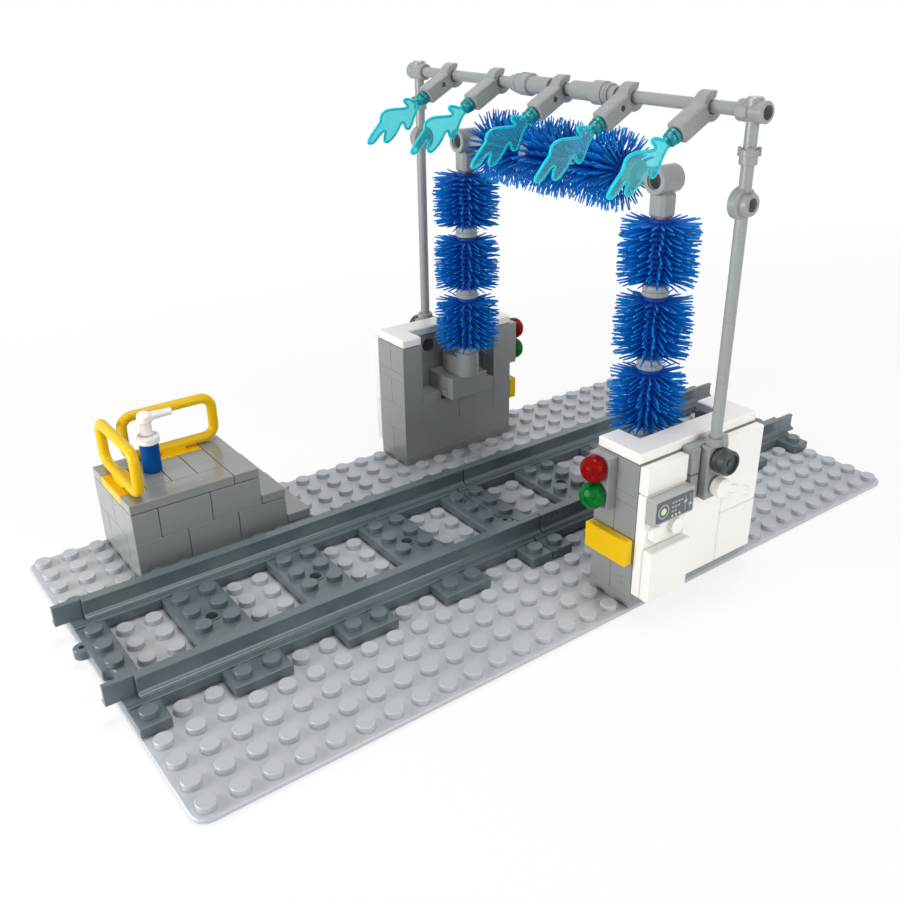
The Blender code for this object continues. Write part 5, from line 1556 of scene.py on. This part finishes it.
@dataclass
class SprayBar:
    """The cross bar with its sleeves, and five nozzles with their splashes."""

    centre: float = 24.0
    height: float = 133.7
    reach: float = 66.9
    half: float = 68.8
    place_shares: tuple = (0.73, 0.384, -0.04, -0.423, -0.798)
    dip_deg: float = 28.6
    clip: Point = (3.7, 3.8)
    clip_bore: float = 1.72
    clip_mouth_deg: int = 42
    clip_edge: float = 0.25
    size: float = 5.0
    length: float = 12.0
    neck: float = 2.3
    block_edge: float = 0.45
    mouth: Point = (1.65, 1.5)
    pin_hole: tuple = (0.8, (-5.6, -1.2, 0.3))
    hole_depth: float = 3.0
    bored: tuple = (1, 3, 4)
    splash_length: float = 25.0
    splash_span: float = 9.2
    splash_depth: float = 0.7
    splash_rim: float = 0.4
    stub_profile: tuple = (
        (0, -1.2), (1.5, -1.2), (1.5, 0), (2.0, 0.1), (2.2, 0.4), (2.1, 1.1), (1.75, 1.3),
        (2.0, 1.6), (1.9, 2.3), (1.3, 2.8), (0, 2.9))
    sleeve_notch: tuple = ((-0.8, 0.0, 14.2), (0.8, 4.0, 17.0), 0.1)
    sleeve_profile: tuple = (
        (0, 4.5), (1.6, 4.5), (2.3, 4.5), (2.5, 4.7), (2.5, 13.2), (3.0, 13.3), (3.2, 13.5),
        (3.2, 17.4), (3.0, 17.6), (2.8, 17.6), (2.8, 18.6), (2.55, 18.8), (2.8, 19.0),
        (2.8, 19.7), (2.3, 19.8), (2.3, 21.8), (2.1, 22.0), (1.6, 22.0), (0, 22.0))
    splash_outline_shares: tuple = (
        (0.00, 0.12), (0.08, 0.08), (0.16, 0.11), (0.20, 0.24), (0.27, 0.38), (0.30, 0.33),
        (0.27, 0.14), (0.29, 0.06), (0.42, 0.26), (0.55, 0.45), (0.64, 0.47), (0.69, 0.38),
        (0.71, 0.27), (0.82, 0.19), (0.97, 0.04), (1.00, -0.06), (0.94, -0.15), (0.86, -0.11),
        (0.75, -0.03), (0.70, -0.09), (0.76, -0.24), (0.79, -0.37), (0.74, -0.47), (0.59, -0.39),
        (0.46, -0.20), (0.42, -0.25), (0.44, -0.47), (0.40, -0.56), (0.33, -0.47), (0.24, -0.27),
        (0.14, -0.13), (0.00, -0.12))

    def bar(self) -> None:
        """Build the bar with the notched sleeves that join its lengths."""
        form = Form().rod(GRID.bar / 2, 2 * self.reach, Facing.NORTH.at(0, -self.reach, 0))
        middle = self.place_shares[2] * self.half
        for facing in (Facing.NORTH, Facing.SOUTH):
            sleeve = Form().lathe(self.sleeve_profile, FLAT, 36)
            sleeve.carve(Form().block(*self.sleeve_notch))
            form.take(sleeve, facing.at(0, middle, 0) @ Matrix.Rotation(math.pi, 4, "Z"))
        publish(form, "spray_bar_sleeved", BAR_GREY, "station", ["spray_bar"],
                Facing.UP.at(self.centre, 0, self.height))

    def nozzle(self, bored: bool) -> Form:
        """Build a nozzle along -X: the clip round the bar and its block.

        Args:
            bored: Whether its block has a hole in its side.

        Returns:
            The form, with the bar's middle at its origin.
        """
        radius, width = self.clip
        low, high = self.clip_mouth_deg, 360 - self.clip_mouth_deg
        outline = arc((0, 0), radius, low, high, 30) + arc((0, 0), self.clip_bore, high, low, 24)
        form = Form().prism(outline, width, Facing.SOUTH.at(0, width / 2, 0), self.clip_edge)
        half = self.size / 2
        block = Form().block((-self.length, -half, -half), (-self.neck, half, half),
                             self.block_edge)
        bore, depth = self.mouth
        tools = [Form().rod(bore, self.hole_depth, Facing.WEST.at(depth - self.length, 0, 0),
                            0.05)]
        if bored:
            radius, spot = self.pin_hole
            tools.append(Form().rod(radius, self.hole_depth, Facing.SOUTH.at(*spot), 0.05, 20))
        return form.take(block.carve(*tools))

    def splash(self) -> tuple[Form, Form, Form]:
        """Build a splash.

        Returns:
            Its thin blade, the thick rim round it, and its fluted stub.
        """
        root = self.length + GRID.gap
        outline = softened([(-root - along * self.splash_length, across * self.splash_span)
                            for along, across in self.splash_outline_shares], 1)
        depth = self.splash_depth
        blade = Form().prism(outline, depth, Facing.SOUTH.at(0, depth / 2, 0), 0)
        rim = Form().tube([(x, 0, z) for x, z in outline], self.splash_rim, closed=True)
        return blade, rim, Form().lathe(self.stub_profile, Facing.WEST.at(-root, 0, 0), 28)

    def build(self) -> None:
        """Build the bar and all five nozzles, counted from the far end."""
        self.bar()
        dip = Matrix.Rotation(-math.radians(self.dip_deg), 4, "Y")
        for number, share in enumerate(self.place_shares, 1):
            place = Facing.UP.at(self.centre, share * self.half, self.height) @ dip
            body = f"spray_{number}"
            publish(self.nozzle(number in self.bored), f"nozzle_block_{number}", BAR_GREY, body,
                    [f"nozzle_{number}"], place)
            blade, rim, stub = self.splash()
            publish(blade, f"splash_blade_{number}", TURQUOISE, body, [f"splash_{number}"], place)
            # The rim carries the painted edge glow.
            publish(rim, f"splash_rim_{number}", SPLASH_EDGE_GLOW, body, place=place)
            publish(stub, f"splash_stub_{number}", SPLASH_STUB, body, place=place)


# Studio


@dataclass
class Studio:
    """The floor, the soft lamps, the white surroundings and the camera."""

    camera_place: Place = (-171.73, -217.81, 161.36)
    azimuth_deg: float = -37.685
    elevation_deg: float = 25.9
    lens: float = 38.8
    sensor: float = 36.0
    shift_x: float = -0.0333
    clip_start: float = 10.0
    floor_size: float = 8000.0
    floor_drop: float = 0.4
    floor_shade: float = 0.93
    floor_roughness: float = 0.9
    floor_white: float = 0.8
    fade: Point = (90.0, 300.0)
    fade_across: Place = (0.5, 1, 0)
    lamps: tuple = (
        ("left", (-520.0, 80.0, 110.0), 400.0, 2.9),
        ("front", (100.0, -700.0, 300.0), 700.0, 3.2),
        ("top", (40.0, 60.0, 900.0), 450.0, 4.1))
    aim: Place = (0.0, 0.0, 50.0)
    fill: float = 0.15
    fill_colour: Colour = (0.94, 0.97, 1.0)

    def surroundings(self) -> None:
        """Set the world: soft fill light, seen as plain white."""
        world = bpy.data.worlds.new("white room")
        bpy.context.scene.world = world
        graph = Graph(world, "Background")
        graph.feed(graph.shader, {"Color": (*self.fill_colour, 1), "Strength": self.fill})
        graph.seen_white(1.0, "Background", "World Output")

    def floor(self) -> None:
        """Lay the pale floor, which keeps a soft shadow near the toy."""
        form = Form()
        bmesh.ops.create_grid(form.bm, x_segments=1, y_segments=1, size=self.floor_size / 2)
        mesh = form.mesh("floor")
        mesh.transform(Matrix.Scale(MM, 4) @ Matrix.Translation((0, 0, -self.floor_drop)))
        floor = link("floor", mesh)
        graph = Graph.of("paper")
        graph.feed(graph.shader, {"Base Color": shaded((self.floor_shade,) * 3, 0),
                                  "Roughness": self.floor_roughness})
        near, far = (distance * MM for distance in self.fade)
        away = graph.length((0, 0, 0), self.fade_across).band(near, far)
        graph.seen_white(away * (1 - self.floor_white) + self.floor_white, "Emission",
                         "Material Output")
        mesh.materials.append(graph.owner)

    def lights(self) -> None:
        """Hang the soft lamps, each turned to the toy."""
        for name, spot, size, power in self.lamps:
            data = bpy.data.lights.new(name, "AREA")
            data.shape = "DISK"
            data.size = size * MM
            data.energy = power
            lamp = link(name, data)
            lamp.visible_camera = False
            lamp.location = Vector(spot) * MM
            aim = Vector(self.aim) * MM - lamp.location
            lamp.rotation_euler = aim.to_track_quat("-Z", "Y").to_euler()

    def camera(self) -> None:
        """Set the camera at the photograph's viewpoint."""
        data = bpy.data.cameras.new("view")
        data.lens = self.lens
        data.sensor_width = self.sensor
        data.shift_x = self.shift_x
        data.clip_start = self.clip_start * MM
        camera = link("view", data)
        camera.location = Vector(self.camera_place) * MM
        camera.rotation_euler = (math.radians(90 - self.elevation_deg), 0,
                                 math.radians(self.azimuth_deg))
        bpy.context.scene.camera = camera

    def build(self) -> None:
        """Set up the whole studio."""
        self.camera()
        self.surroundings()
        self.floor()
        self.lights()
        bpy.context.scene.view_settings.view_transform = "Standard"


def main() -> None:
    """Build the studio and every sub-assembly in order."""
    logging.basicConfig(level=logging.INFO, format="%(name)s: %(message)s")
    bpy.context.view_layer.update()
    Studio().build()
    BasePlate().build()
    Track("left", -64.0).build()
    Track("right", 64.0).build()
    Platform().build()
    near = Tower(Side.NEAR)
    near.build()
    Tower(Side.FAR).build()
    for roller in rollers(near):
        roller.build()
    SprayBar().build()


if __name__ == "__main__":
    main()
